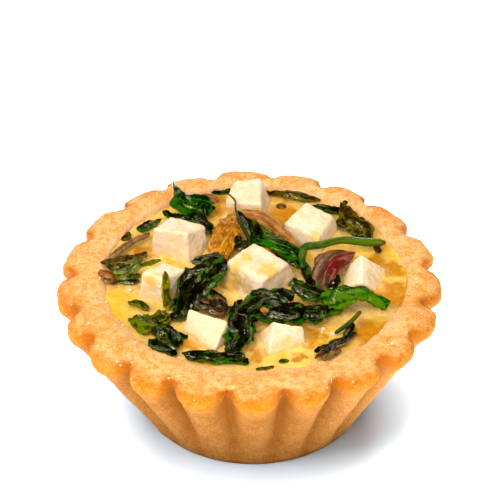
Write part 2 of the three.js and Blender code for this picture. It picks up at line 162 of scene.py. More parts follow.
class Look:
    """A Principled material whose nodes are added one at a time. Scales are wavelengths in millimetres."""

    def __init__(self, name, **plain):
        self.material = bpy.data.materials.new(name)
        self.material.use_nodes = True
        self.tree = self.material.node_tree
        self.tree.nodes.clear()
        output = self.tree.nodes.new("ShaderNodeOutputMaterial")
        self.shader = self.tree.nodes.new("ShaderNodeBsdfPrincipled")
        self.tree.links.new(self.shader.outputs[0], output.inputs["Surface"])
        self.place = self.tree.nodes.new("ShaderNodeTexCoord").outputs["Object"]
        for socket, value in plain.items():
            self.set(socket.replace("_", " "), value)

    def put(self, socket, value):
        if isinstance(value, bpy.types.NodeSocket):
            self.tree.links.new(value, socket)
        elif isinstance(value, tuple) and socket.type == "RGBA":
            socket.default_value = (*value, 1)
        else:
            socket.default_value = value

    def set(self, socket, value):
        self.put(self.shader.inputs[socket], value)

    def add(self, kind, settings=None, **inputs):
        node = self.tree.nodes.new("ShaderNode" + kind)
        for key, value in (settings or {}).items():
            setattr(node, key, value)
        for key, value in inputs.items():
            self.put(node.inputs[key], value)
        return node

    def noise(self, wavelength, detail=2.0, roughness=0.5):
        scale = 1 / (wavelength * MM)
        node = self.add("TexNoise", Vector=self.place, Scale=scale, Detail=detail, Roughness=roughness)
        return node.outputs["Fac"]

    def dots(self, spacing, core, edge, strength=1.0):
        """Scattered dots: full within the core and gone at the edge, both as shares of the spacing."""
        cells = self.add("TexVoronoi", Vector=self.place, Scale=1 / (spacing * MM))
        return self.span(cells.outputs["Distance"], core, edge, strength, 0.0)

    def mark(self, name, *factors):
        """A mark of the mesh, times the factors."""
        return self.times(self.add("Attribute", {"attribute_name": name}).outputs["Fac"], *factors)

    def span(self, value, low, high, start=0.0, end=1.0):
        """The value taken from low to high onto start to end, smoothly and clamped."""
        node = self.add("MapRange", {"interpolation_type": "SMOOTHSTEP"}, Value=value)
        for key, number in {"From Min": low, "From Max": high, "To Min": start, "To Max": end}.items():
            node.inputs[key].default_value = number
        return node.outputs[0]

    def join(self, operation, values):
        """The values joined one after the other by a Math node's operation."""
        result = values[0]
        for value in values[1:]:
            node = self.add("Math", {"operation": operation})
            self.put(node.inputs[0], result)
            self.put(node.inputs[1], value)
            result = node.outputs[0]
        return result

    def sum(self, *values):
        return self.join("ADD", values)

    def times(self, *values):
        return self.join("MULTIPLY", values)

    def layers(self, colour, *layers):
        """The colour with layers on it, each given by how far it covers what is below, and its colour."""
        for share, layer in layers:
            node = self.add("Mix", {"data_type": "RGBA"})
            self.put(node.inputs[0], share)
            self.put(node.inputs[6], colour)
            self.put(node.inputs[7], layer)
            colour = node.outputs[2]
        return colour

    def scatter(self, weight, radius, colour_ratio):
        """Light that goes in and comes out again nearby, up to the radius in millimetres."""
        self.set("Subsurface Weight", weight)
        self.set("Subsurface Scale", radius * MM)
        self.set("Subsurface Radius", colour_ratio)

    def finish(self, colour, height, depth):
        """The colour, and a fine relief whose height, from 0 to 1, stands for the depth in millimetres."""
        self.set("Base Color", colour)
        self.set("Normal", self.add("Bump", Height=height, Distance=depth * MM, Strength=1.0).outputs[0])
        return self.material


def pastry_look():
    look = Look("pastry", Roughness=0.7, IOR=1.4, Specular_IOR_Level=0.12)
    mottle, spots, grain = look.noise(4, 4, 0.6), look.noise(1.5, 3, 0.65), look.noise(0.42, 3, 0.7)
    top, toasted = look.mark("top"), look.mark("toast", look.span(mottle, 0.3, 0.5, 0.8, 1.0))
    gold = look.layers(
        (0.91, 0.46, 0.15),
        (look.span(spots, 0.44, 0.6), (0.87, 0.3, 0.045)),
        (look.span(mottle, 0.5, 0.6, 0.0, 0.75), (0.85, 0.25, 0.02)),
        (look.span(grain, 0.5, 0.62, 0.0, 0.65), (1.0, 0.6, 0.28)),
    )
    browned = look.layers(
        (0.62, 0.2, 0.01),
        (look.span(spots, 0.4, 0.6), (0.52, 0.14, 0.002)),
        (look.span(grain, 0.52, 0.66, 0.0, 0.3), (0.88, 0.34, 0.05)),
    )
    # Painted light: paler wall colours for the right side, as if more light fell there.
    painted_light_wall = look.layers((0.53, 0.19, 0.03), (look.span(grain, 0.4, 0.6), (0.7, 0.31, 0.08)))
    burnt = look.times(look.dots(2.0, 0.06, 0.12), look.span(mottle, 0.5, 0.6, 0.0, 0.8))
    blisters = look.times(look.dots(1.1, 0.07, 0.14, 0.8), top, look.span(mottle, 0.48, 0.58, 1.0, 0.0))
    colour = look.layers(
        (0.345, 0.122, 0.015),
        (look.span(mottle, 0.4, 0.62), (0.285, 0.084, 0.003)),
        (look.span(grain, 0.48, 0.64), (0.48, 0.2, 0.04)),
        # painted light: the wall lightened towards the right
        (look.mark("pale", 0.8), painted_light_wall),
        (top, look.layers(gold, (toasted, browned))),
        (look.mark("crease", 0.9), (0.44, 0.11, 0.0)),
        (look.mark("groove", 0.95), (0.32, 0.083, 0.0)),
        (look.mark("inside", 0.85), (0.92, 0.56, 0.29)),
        (burnt, (0.35, 0.1, 0.01)),
        (blisters, (1.0, 0.88, 0.62)),
    )
    look.scatter(0.06, 1.2, (1.0, 0.4, 0.1))
    return look.finish(colour, look.sum(grain, look.times(spots, 0.8)), 0.5)


def crumb_look():
    look = Look("crumb", Roughness=0.7, IOR=1.4, Specular_IOR_Level=0.1)
    browned = look.span(look.noise(3), 0.45, 0.6)
    look.set("Base Color", look.layers((1.0, 0.72, 0.42), (browned, (0.8, 0.32, 0.07))))
    return look.material


def custard_look():
    look = Look("custard", Roughness=0.14, IOR=1.42, Specular_Tint=CUSTARD_SHINE)
    cloud, fine, grain = look.noise(6, 3, 0.55), look.noise(1.5, 3, 0.6), look.noise(0.45, 3, 0.7)
    freckles = look.times(look.dots(1.9, 0.06, 0.13), look.span(cloud, 0.52, 0.66, 0.0, 0.8))
    colour = look.layers(
        (0.68, 0.35, 0.02),
        (look.span(cloud, 0.38, 0.62), (0.8, 0.48, 0.1)),
        (look.mark("tan", look.span(fine, 0.3, 0.6, 0.6, 0.9)), (0.56, 0.36, 0.09)),
        (look.mark("golden", look.span(fine, 0.3, 0.6, 0.85, 1.0)), (0.44, 0.15, 0.0)),
        (look.mark("cream", look.span(fine, 0.35, 0.6, 0.2, 0.7)), (0.85, 0.55, 0.18)),
        (look.span(look.mark("bubble"), 0.3, 1.0, 0.0, 0.5), (0.9, 0.65, 0.3)),
        (look.span(grain, 0.5, 0.66, 0.0, 0.4), (0.55, 0.27, 0.02)),
        (freckles, (0.35, 0.13, 0.02)),
    )
    look.set("Specular IOR Level", look.span(look.noise(0.9, 2), 0.52, 0.64, 0.02, 0.4))
    look.scatter(0.12, 1.2, (1.0, 0.5, 0.06))
    return look.finish(colour, look.sum(look.noise(1.4, 3), look.times(look.noise(0.4, 2), 0.25)), 0.26)


def cheese_look():
    look = Look("cheese", Roughness=0.5, IOR=1.4, Specular_IOR_Level=0.2)
    cloud, grain = look.noise(3, 3, 0.6), look.noise(0.6, 4, 0.7)
    specks = look.times(look.dots(2.6, 0.03, 0.07), look.span(look.noise(2), 0.5, 0.6))
    colour = look.layers(
        (0.77, 0.57, 0.33),
        (look.span(cloud, 0.4, 0.6), (0.81, 0.64, 0.44)),
        (look.span(grain, 0.48, 0.66, 0.0, 0.4), (0.66, 0.43, 0.22)),
        # Warmer near the custard: a soaked foot, and above it painted warm light bounced from the custard.
        (look.mark("foot", 0.75), (0.78, 0.5, 0.19)),
        (look.mark("stain", look.span(cloud, 0.3, 0.6, 0.55, 0.95)), (0.78, 0.44, 0.06)),
        # Painted shade on the middle cube's side where the leaf pile beside it shades it, with custard stain.
        (look.mark("brown", 0.75), (0.4, 0.23, 0.06)),
        (specks, (0.3, 0.1, 0.02)),
        (look.mark("pepper", look.dots(0.9, 0.13, 0.25, 0.9)), (0.4, 0.11, 0.015)),
    )
    look.scatter(0.25, 1.2, (1.0, 0.65, 0.3))
    crumb = look.sum(look.noise(0.9, 4, 0.65), look.times(look.noise(0.3, 2, 0.6), 0.5))
    return look.finish(colour, crumb, 0.34)


def along_and_across(look, along_scale):
    """Texture coordinates that follow a leaf or a strip, in which lines run along it."""
    along, across = look.mark("along", along_scale * MM), look.mark("across", MM)
    return look.add("CombineXYZ", X=along, Y=across, Z=look.mark("seed")).outputs[0]


def leaf_look(name, dark, middle, bright, margin, share, shine=GREEN_SHINE):
    """Share runs from a nearly black leaf at 0 to a bright one at 1."""
    look = Look(name, Roughness=0.16, IOR=1.45, Specular_Tint=shine)
    spots, edge = look.noise(1.4, 3), look.mark("edge")
    look.place = along_and_across(look, 0.4)
    patches = look.noise(2, 3, 0.6)
    lit = look.sum(patches, look.times(look.span(edge, 0.5, 1.0), 0.22))
    colour = look.layers(
        dark,
        (look.span(spots, 0.46, 0.62), middle),
        (look.span(patches, 0.54, 0.66, 0.0, 0.7), margin),
        (look.span(lit, 0.66 - 0.26 * share, 0.75 - 0.26 * share), bright),
        (look.times(look.span(edge, 0.8, 0.97), look.span(spots, 0.45, 0.58)), margin),
    )
    look.place = along_and_across(look, 0.2)
    look.set("Specular IOR Level", look.span(look.noise(1.8, 2), 0.5, 0.6, 0.01, 1.0))
    return look.finish(colour, look.noise(0.6, 3, 0.55), 0.42)


def onion_look(name, pale, deep, gloss=0.5):
    look = Look(name, Roughness=0.12, IOR=1.42, Specular_Tint=WARM_SHINE)
    cloud = look.noise(2.5, 4, 0.6)
    look.place = along_and_across(look, 0.12)
    lines = look.noise(0.8, 4, 0.65)
    tone = look.sum(look.times(lines, 0.55), look.times(cloud, 0.45))
    look.set("Specular IOR Level", look.span(look.noise(1.4, 2), 0.45, 0.6, 0.1, gloss))
    look.scatter(0.25, 0.8, (1.0, 0.35, 0.08))
    return look.finish(look.layers(pale, (look.span(tone, 0.42, 0.58), deep)), lines, 0.22)


def red_onion_look():
    """Maroon with pale lines along it, and brown on its left and at its front end."""
    look = Look("onion_red", Roughness=0.12, IOR=1.42, Specular_IOR_Level=0.3)
    cloud, along, across = look.noise(2, 3), look.mark("along"), look.mark("across")
    look.place = along_and_across(look, 0.07)
    lines = look.noise(0.7, 3, 0.6)
    maroon = look.layers((0.11, 0.003, 0.002), (look.span(lines, 0.47, 0.6), (0.26, 0.07, 0.04)))
    brown = look.layers((0.06, 0.02, 0.004), (look.span(lines, 0.42, 0.6), (0.2, 0.08, 0.03)))
    left = look.span(look.sum(across, look.times(cloud, 2.0)), 0.7, 1.6)
    in_front = look.span(along, 3.0, 6.0, 1.0, 0.0)
    look.scatter(0.15, 0.8, (1.0, 0.2, 0.08))
    return look.finish(look.layers(maroon, (look.join("MAXIMUM", [left, in_front]), brown)), lines, 0.25)


def stalk_look(name, dark, bright, tip):
    look = Look(name, Roughness=0.14, IOR=1.42, Specular_IOR_Level=0.12, Specular_Tint=WARM_SHINE)
    look.place = along_and_across(look, 0.15)
    lines = look.noise(1.0, 4, 0.6)
    ripe = look.span(look.sum(lines, look.mark("ripe", 0.2)), 0.45, 0.65)
    return look.finish(look.layers(dark, (ripe, bright), (look.mark("end", 0.85), tip)), lines, 0.3)


# --- Crust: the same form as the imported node, with many more sections ---

RIM_RADIUS = 44
RIM_HEIGHT = 34.4
# The rim is neither quite round nor quite level: what is added to its radius and its height, as multiples
# of the cosine and the sine of the direction, and of the cosine of twice the direction.
RIM_RADIUS_WAVES = (-0.16, 0.4, 0.48)
RIM_HEIGHT_WAVES = (-0.38, 0.19, -0.34)
BASE_RADIUS = 26.2
BASE_SHIFT = 0.6
BASE_ROUNDING = 1
WALL_CURVE = 1.09
WALL_START = 0.05  # the lowest ring of the wall, as a share of its height
NECK_DEPTH = 0.8  # how far the wall draws in just below the rim
NECK_DEPTH_IN_FRONT = 0.2
NECK_SPAN = (0.5, 0.87, 0.96)  # how far up the wall the neck starts, is deepest and ends
FACE_START = 0.93  # how far up the wall the upright face of the rim starts at the back and the left
FACE_START_IN_FRONT = 0.975  # the same in front and at the right
FLUTE_DEPTH = 6.2
FLUTE_DEPTH_AT_BASE = 0.15
FLUTE_DEPTH_AT_RIM = 7
FLUTE_ROUNDNESS = 2
ROUNDNESS_AT_RIM = 4
GROOVE_FADE = 0.7
GROOVE_END = 0.94  # how far up the wall the grooves start to take the form of the rim's edge
VALLEY_ROUNDING = 0.12
VALLEY_ROUNDING_ON_TOP = 0.3
CREST_RADIUS = 38.4
KNUCKLE_HEIGHT = 3.2
KNUCKLE_HEIGHT_IN_VALLEY = 1.1
ARCH_ROUNDING = 0.36
CREASE_DEPTH = 0.5  # how deep the crease is that runs inwards from each valley over the rim
LIP_DROP = 1.9
CAVITY_RADIUS = 34.4
CAVITY_MIDDLE = np.array([0.7, 2.3, 0])  # the cavity's middle at the filling's edge
FLOOR_HEIGHT = 5
FLOOR_RADIUS = 21
VALLEYS = [
    -165.5, -150.5, -132, -116, -97.5, -79, -62.5, -44, -27.5, -10,
    9, 27, 47.5, 64, 82, 102.5, 120, 137, 156, 175.5,
]

SECTIONS_PER_FLUTE = 40
WALL_ROWS = 64
KNUCKLE_ROWS = 22
LIP_ROWS = 14
INNER_ROWS = 6
RIM_ROW = 2 + WALL_ROWS  # the first ring above the wall
LIP_ROW = RIM_ROW + KNUCKLE_ROWS  # the first ring inside the crest
INNER_ROW = LIP_ROW + LIP_ROWS  # the first ring below the filling's edge

# The lumps of the baked surface: their height, their wavelength and how many octaves they have.
RIM_LUMPS = (0.42, 7, 1)
RIM_GRAIN = (0.05, 0.7, 1)
LIP_LUMPS = (0.3, 3, 1)
WALL_ROUGHNESS = (0.06, 2.6, 3)
RIM_ROUGHNESS = (0.17, 2.6, 3)  # in addition to that of the wall

CRUMBS = 90
CRUMB_SEED = 3
CRUMB_SIZES = (0.12, 0.34)
CRUMB_MARGIN = 3  # rows of the rim's edges without crumbs
LUMPINESS = 0.5


def waves(angle, heights):
    return heights[0] * np.cos(angle) + heights[1] * np.sin(angle) + heights[2] * np.cos(2 * angle)


def crest_height(angle):
    return RIM_HEIGHT + waves(angle, RIM_HEIGHT_WAVES)


def rim_radius(angle):
    return RIM_RADIUS + waves(angle, RIM_RADIUS_WAVES)


def scallop(across, rounding, roundness=FLUTE_ROUNDNESS):
    """1 on the tip of a flute and 0 in a valley; across runs from 0 to 1 between two valleys."""
    inwards = np.minimum(1, np.hypot(1 - np.abs(2 * across - 1), rounding))
    return 1 - (1 - inwards) ** roundness


def arch(across):
    """The line in which a groove ends under the rim: 0 at its highest point and 1 below the tips."""
    lowest = scallop(0.0, ARCH_ROUNDING)
    return (scallop(across, ARCH_ROUNDING) - lowest) / (1 - lowest)


def rim_groove(across, rounding):
    """How far the rim's edge lies inside the line through the tips."""
    return FLUTE_DEPTH_AT_RIM * (1 - scallop(across, rounding, ROUNDNESS_AT_RIM))


def wall_groove(share, across):
    """The same for the wall, from the foot (0) to the rim (1), under which each groove ends in an arch."""
    deepest = between(FLUTE_DEPTH_AT_BASE, FLUTE_DEPTH, share**GROOVE_FADE)
    roundness = between(FLUTE_ROUNDNESS, ROUNDNESS_AT_RIM, share)
    groove = deepest * (1 - scallop(across, VALLEY_ROUNDING, roundness))
    return between(groove, rim_groove(across, VALLEY_ROUNDING), smoothstep(GROOVE_END, 1, share))


def on_ring(radius, angle, height):
    return places_at(radius * np.cos(angle), radius * np.sin(angle), height)


def cavity_ring(share, angle, inset=0.0):
    """The inside of the cavity, from the floor (0) up to the filling's edge (1)."""
    radius = between(FLOOR_RADIUS, CAVITY_RADIUS, share) - inset
    height = between(FLOOR_HEIGHT, crest_height(angle) - LIP_DROP, share)
    return on_ring(radius, angle, height) + CAVITY_MIDDLE * share


def flute_places():
    """The direction of each section, and where it lies between its two valleys."""
    across = np.tile(np.arange(SECTIONS_PER_FLUTE) / SECTIONS_PER_FLUTE, len(VALLEYS))
    starts = np.repeat(VALLEYS, SECTIONS_PER_FLUTE)
    ends = np.repeat(VALLEYS[1:] + [VALLEYS[0] + 360], SECTIONS_PER_FLUTE)
    return np.radians(between(starts, ends, across)), across


def wall_rings(angle, across, rim, height):
    """Rings from the underside up to the rim's edge."""
    foot = BASE_RADIUS + BASE_SHIFT * np.cos(angle)
    in_front = smoothstep(-0.2, 0.8, np.cos(angle + math.pi / 4))
    face_start = between(FACE_START, FACE_START_IN_FRONT, in_front)
    neck_depth = between(NECK_DEPTH, NECK_DEPTH_IN_FRONT, smoothstep(0.3, 0.9, -np.sin(angle)))
    start, deepest, end = NECK_SPAN
    corner = 0.3 * BASE_ROUNDING  # how far the rounding's middle lies inside the sharp corner
    rings = [on_ring(foot - BASE_ROUNDING, angle, 0), on_ring(foot - corner, angle, corner)]
    for share in np.linspace(WALL_START, 1, WALL_ROWS):
        neck = neck_depth * smoothstep(start, deepest, share) * smoothstep(end, deepest, share)
        cone = between(foot, rim, np.minimum(1, share / face_start) ** WALL_CURVE) - neck
        rings.append(on_ring(cone - wall_groove(share, across), angle, share * height))
    return rings


def crust_rings():
    """Rings from the underside up the wall, over the rim and down to the floor."""
    angle, across = flute_places()
    crest, rim = crest_height(angle), rim_radius(angle)
    knuckle = between(KNUCKLE_HEIGHT_IN_VALLEY, KNUCKLE_HEIGHT, arch(across))
    rings = wall_rings(angle, across, rim, crest - knuckle)
    for turn in np.linspace(0, math.pi / 2, KNUCKLE_ROWS + 1)[1:]:
        rounding = between(VALLEY_ROUNDING, VALLEY_ROUNDING_ON_TOP, math.sin(turn) ** 3)
        radius = between(CREST_RADIUS, rim - rim_groove(across, rounding), math.cos(turn))
        dip = CREASE_DEPTH * (1 - arch(across)) * math.sin(2 * turn)
        rings.append(on_ring(radius, angle, crest - knuckle * (1 - math.sin(turn)) - dip))
    top, contact = rings[-1], cavity_ring(1, angle)
    for turn in np.linspace(0, math.pi / 2, LIP_ROWS + 1)[1:]:
        ring = between(top, contact, math.sin(turn))
        ring[:, 2] = between(contact[:, 2], top[:, 2], math.cos(turn))
        rings.append(ring)
    rings += [cavity_ring(share, angle) for share in np.linspace(1, 0, INNER_ROWS + 1)[1:]]
    return np.array(rings)


def crust_relief(rings, row):
    """How far the surface stands out at each point of the rings."""
    shown = (row > 1) & (row <= INNER_ROW + 1)
    on_rim = smoothstep(RIM_ROW - 12, RIM_ROW + 3, row)
    on_lip = smoothstep(LIP_ROW + 2, INNER_ROW, row)
    lumps = relief(rings, *RIM_LUMPS, 1) + relief(rings, *RIM_GRAIN, 9) + relief(rings, *RIM_ROUGHNESS, 4)
    lumps = on_rim * lumps + on_lip * relief(rings, *LIP_LUMPS, 12) + relief(rings, *WALL_ROUGHNESS, 4)
    return lumps * shown


def crust_marks(rings, row):
    """Where the pastry's colours lie: in grooves and creases, on the top, its sides and so on, with painted
    light on the right.
    """
    angle, across = flute_places()
    height = rings[..., 2]
    below = crest_height(angle) - height
    tip = scallop(across, VALLEY_ROUNDING)
    outer = row <= LIP_ROW
    top = 1 - smoothstep(0.5 + 2.4 * tip, 1.9 + 9 * tip, below)
    up_wall = between(0.3, 1, smoothstep(0.2, 0.9, height / RIM_HEIGHT))
    at_foot = smoothstep(1.6, 0.2, height)
    at_back = smoothstep(-0.3, 0.5, np.sin(angle))
    notch = smoothstep(0.15, 0.6, 1 - tip) * smoothstep(0.15, 0.9, below)
    return {
        "groove": np.maximum(smoothstep(0, 1, 1 - tip) * up_wall * (1 - top), at_foot) * outer,
        "toast": smoothstep(-0.3, 2.0, below) * outer * (1 - 0.6 * at_back),
        "crease": notch * top * outer,
        # Paler towards the right: painted light on that side of the wall.
        "pale": smoothstep(5, 35, rings[..., 0]) * outer,
        "top": np.maximum(top, row > LIP_ROW),
        "inside": smoothstep(LIP_ROW + 2, INNER_ROW, row),
    }


def make_crust():
    rings = crust_rings()
    row = np.arange(len(rings))[:, None]
    rings = rings + grid_normals(rings, closed=True) * crust_relief(rings, row)[..., None]
    poles = [[0, 0, 0], [0, 0, FLOOR_HEIGHT]]
    points = np.vstack([rings.reshape(-1, 3), poles])
    marks = {
        key: np.pad(np.broadcast_to(value, rings.shape[:2]).ravel(), (0, len(poles)))
        for key, value in crust_marks(rings, row).items()
    }
    faces = ring_faces(*rings.shape[:2])
    dress("crust", add_piece("quiche_crust", points, faces, pastry_look(), marks))
    make_crumbs(rings[RIM_ROW + CRUMB_MARGIN : INNER_ROW - CRUMB_MARGIN])


def make_lumps(name, places, sizes, material):
    """Small rough lumps at the places, as one piece attached to the body."""
    ball = bmesh.new()
    bmesh.ops.create_icosphere(ball, subdivisions=2, radius=1)
    shape, faces = mesh_arrays(ball)
    lumps = []
    for number, (place, size) in enumerate(zip(places, sizes)):
        bumps = 1 + LUMPINESS * soft_noise(shape, 1.2, 300 + number)
        lumps.append((place + shape * bumps[:, None] * size, faces))
    lay_beside(add_piece(name, *joined(lumps), material))


def make_crumbs(surface):
    """Crumbs of pastry on the rim. The surface is the grid of points they lie on."""
    draw = np.random.default_rng(CRUMB_SEED)
    rows, columns = draw.integers(0, surface.shape[:2], (CRUMBS, 2)).T
    sizes = draw.uniform(*CRUMB_SIZES, (CRUMBS, 1)) * draw.uniform(0.6, 1, (CRUMBS, 3))
    make_lumps("crust_crumbs", surface[rows, columns], sizes, crumb_look())


# --- Custard ---

CUSTARD_LEVEL = RIM_HEIGHT - LIP_DROP
CUSTARD_COLUMNS = 560
CUSTARD_ROWS = 130
CUSTARD_INTO_CRUST = 1.2
CUSTARD_OFF_FLOOR = 0.4
INNERMOST_RING = 0.01  # as a share of the filling's radius
# How high the custard climbs at a cube, at a leaf and at the crust, and how wide the climb is.
CLIMB_AT_CHEESE = (0.4, 0.9)
CLIMB_AT_LEAF = (0.3, 0.6)
CLIMB_AT_CRUST = (0.55, 0.9)
CUSTARD_LUMPS = (0.24, 5, 3)  # height, wavelength and octaves
CUSTARD_CREASES = 0.1
SOAKED_WIDTH = 2.4  # how far from a leaf the custard is stained
SOAKED_STRENGTH = 0.65
SOAKED_RAGGEDNESS = (1.2, 2.5, 3)
# The bubbles that stand out, as x, y and radius; the smaller ones are scattered.
BUBBLES = [
    (16.5, -16.9, 0.5), (18.7, -18.7, 0.4), (-13.7, -23.8, 0.4), (-24.3, -0.2, 0.4), (-33.5, -1.4, 0.4),
]
SMALL_BUBBLES = 70
SMALL_BUBBLE_RADII = (0.12, 0.3)
BUBBLED_RADIUS = 34
BUBBLE_RIM = 0.15
BUBBLE_SEED = 5
BUBBLE_HEIGHT = 0.16
PATCH_RAGGEDNESS = (3.5, 4, 4)
# Patches of colour in the custard: where each lies, and its radius.
GOLDEN_PATCHES = [
    (7, 28, 5), (-8, 31, 4), (-24, 13, 3), (33, 5, 4), (32, -4, 6), (29, 9, 3), (27, -18, 5),
    (14, -21, 3), (-14, -22, 3), (12, -26, 2), (1, -26, 2),
]
TAN_PATCHES = [
    (-27, 16, 4), (-24, -23, 4), (-17, -26, 3.5), (23, -21, 2.5), (17, -26, 4), (-22, -9, 4),
    (-3, -30, 5), (-33, 1, 3), (12, 31, 4), (22, 20, 5), (-8, 33, 3), (3, 31, 3),
]
CREAM_PATCHES = [
    (-25.8, -2.6, 2.6), (-23.5, 8.2, 2), (-20.5, 9, 2), (-17, 8.4, 2.4), (9, -22, 3), (30, -9.5, 3),
]


def custard_height(x, y):
    """The filling's surface, which is level but for two shallow waves."""
    wave = 0.22 * np.sin(0.21 * x + 0.9) * np.cos(0.17 * y - 0.4) + 0.12 * np.sin(0.4 * x - 0.33 * y)
    return CUSTARD_LEVEL + wave


def patches(places, patch_list):
    """1 inside the patches and 0 outside them, with ragged edges."""
    ragged = relief(places * [1, 1, 0], *PATCH_RAGGEDNESS, 31)
    shares = np.zeros(places.shape[:-1])
    for x, y, radius in patch_list:
        distance = np.hypot(places[..., 0] - x, places[..., 1] - y) + ragged
        shares = np.maximum(shares, 1 - smoothstep(0.5 * radius, 1.3 * radius, distance))
    return shares


def gaps_to(places, start, end):
    """How far each place lies from a line seen from above, and where the nearest point of the line is."""
    side = np.subtract(end, start)[:2]
    across = places[..., :2] - np.array(start)[:2]
    share = np.clip(across @ side / (side @ side), 0, 1)
    return np.linalg.norm(across - share[..., None] * side, axis=-1), share


def from_outline(places, outline):
    """How far each place lies outside an outline, whose corners run clockwise from above; 0 inside it."""
    nearest = np.full(places.shape[:-1], np.inf)
    inside = np.ones(places.shape[:-1], bool)
    for start, end in zip(outline, outline[1:] + outline[:1]):
        nearest = np.minimum(nearest, gaps_to(places, start, end)[0])
        side = np.subtract(end, start)
        inside &= side[0] * (places[..., 1] - start[1]) < side[1] * (places[..., 0] - start[0])
    return np.where(inside, 0, nearest)


def from_cheese(places):
    """How far each place lies from the foot of the nearest cube."""
    return np.min([from_outline(places, foot) for top, foot in CHEESE.values()], axis=0)


def from_toppings(places):
    """How far each place lies outside the nearest leaf or strip of onion; 0 below it."""
    routes = [route for kind, lean, camber, route in TOPPINGS.values()]
    routes += [route for scraps in SCRAPS.values() for kind, route in scraps]
    nearest = np.full(places.shape[:-1], np.inf)
    for route in routes:
        for start, end in zip(route, route[1:]):
            gap, share = gaps_to(places, start, end)
            nearest = np.minimum(nearest, gap - between(start[3], end[3], share) / 2)
    return np.maximum(nearest, 0)


def bubble_rings(places):
    """1 on the rim of each bubble, and below 0 inside it."""
    draw = np.random.default_rng(BUBBLE_SEED)
    angles = draw.uniform(0, 2 * math.pi, SMALL_BUBBLES)
    out = BUBBLED_RADIUS * np.sqrt(draw.uniform(0, 1, SMALL_BUBBLES))
    radii = draw.uniform(*SMALL_BUBBLE_RADII, SMALL_BUBBLES)
    xs, ys = out * np.cos(angles), CAVITY_MIDDLE[1] + out * np.sin(angles)
    height = np.zeros(places.shape[:-1])
    for x, y, radius in [*BUBBLES, *zip(xs, ys, radii)]:
        distance = np.hypot(places[..., 0] - x, places[..., 1] - y)
        height += np.exp(-(((distance - radius) / BUBBLE_RIM) ** 2))
        height -= 0.8 * np.exp(-((distance / (0.6 * radius)) ** 2))
    return height


def climb(distance, height, width):
    return height * np.exp(-distance / width)


def make_custard():
    angle = np.arange(CUSTARD_COLUMNS) / CUSTARD_COLUMNS * 2 * math.pi
    edge = cavity_ring(1, angle, -CUSTARD_INTO_CRUST)
    low = np.array([cavity_ring(share, angle, CUSTARD_OFF_FLOOR) for share in (0.02, 0.5)])
    shares = np.linspace(1, INNERMOST_RING, CUSTARD_ROWS)
    rings = between(CAVITY_MIDDLE, edge, shares[:, None, None])
    rings[..., 2] = custard_height(rings[..., 0], rings[..., 1])
    flat = rings * [1, 1, 0]
    by_cheese, by_leaf = from_cheese(rings), from_toppings(rings)
    by_crust = ((1 - shares) * CAVITY_RADIUS)[:, None]
    bubbles = bubble_rings(rings)
    soaked = 1 - smoothstep(0, SOAKED_WIDTH, by_leaf + relief(flat, *SOAKED_RAGGEDNESS, 27))
    rings[..., 2] += relief(flat, *CUSTARD_LUMPS, 21) + CUSTARD_CREASES * creases(flat, 2.4, 25)
    rings[..., 2] += climb(by_cheese, *CLIMB_AT_CHEESE) + climb(by_leaf, *CLIMB_AT_LEAF)
    rings[..., 2] += climb(by_crust, *CLIMB_AT_CRUST) + BUBBLE_HEIGHT * bubbles
    poles = [[0, 0, FLOOR_HEIGHT + CUSTARD_OFF_FLOOR], [*CAVITY_MIDDLE[:2], rings[-1, :, 2].mean()]]
    points = np.vstack([low.reshape(-1, 3), rings.reshape(-1, 3), poles])
    unmarked = (low[..., 0].size, len(poles))  # points before and after those of the rings
    creamy = np.exp(-by_cheese / CLIMB_AT_CHEESE[1])
    marks = {
        "golden": patches(points, GOLDEN_PATCHES),
        "tan": np.maximum(patches(points, TAN_PATCHES), np.pad(SOAKED_STRENGTH * soaked.ravel(), unmarked)),
        "cream": np.maximum(patches(points, CREAM_PATCHES), np.pad(creamy.ravel(), unmarked)),
        "bubble": np.pad(bubbles.ravel(), unmarked),
    }
    faces = ring_faces(len(low) + len(rings), CUSTARD_COLUMNS)
    dress("custard", add_piece("quiche_custard", points, faces, custard_look(), marks))


# --- Cheese cubes. From here on, heights in the tables are above the filling's level. ---

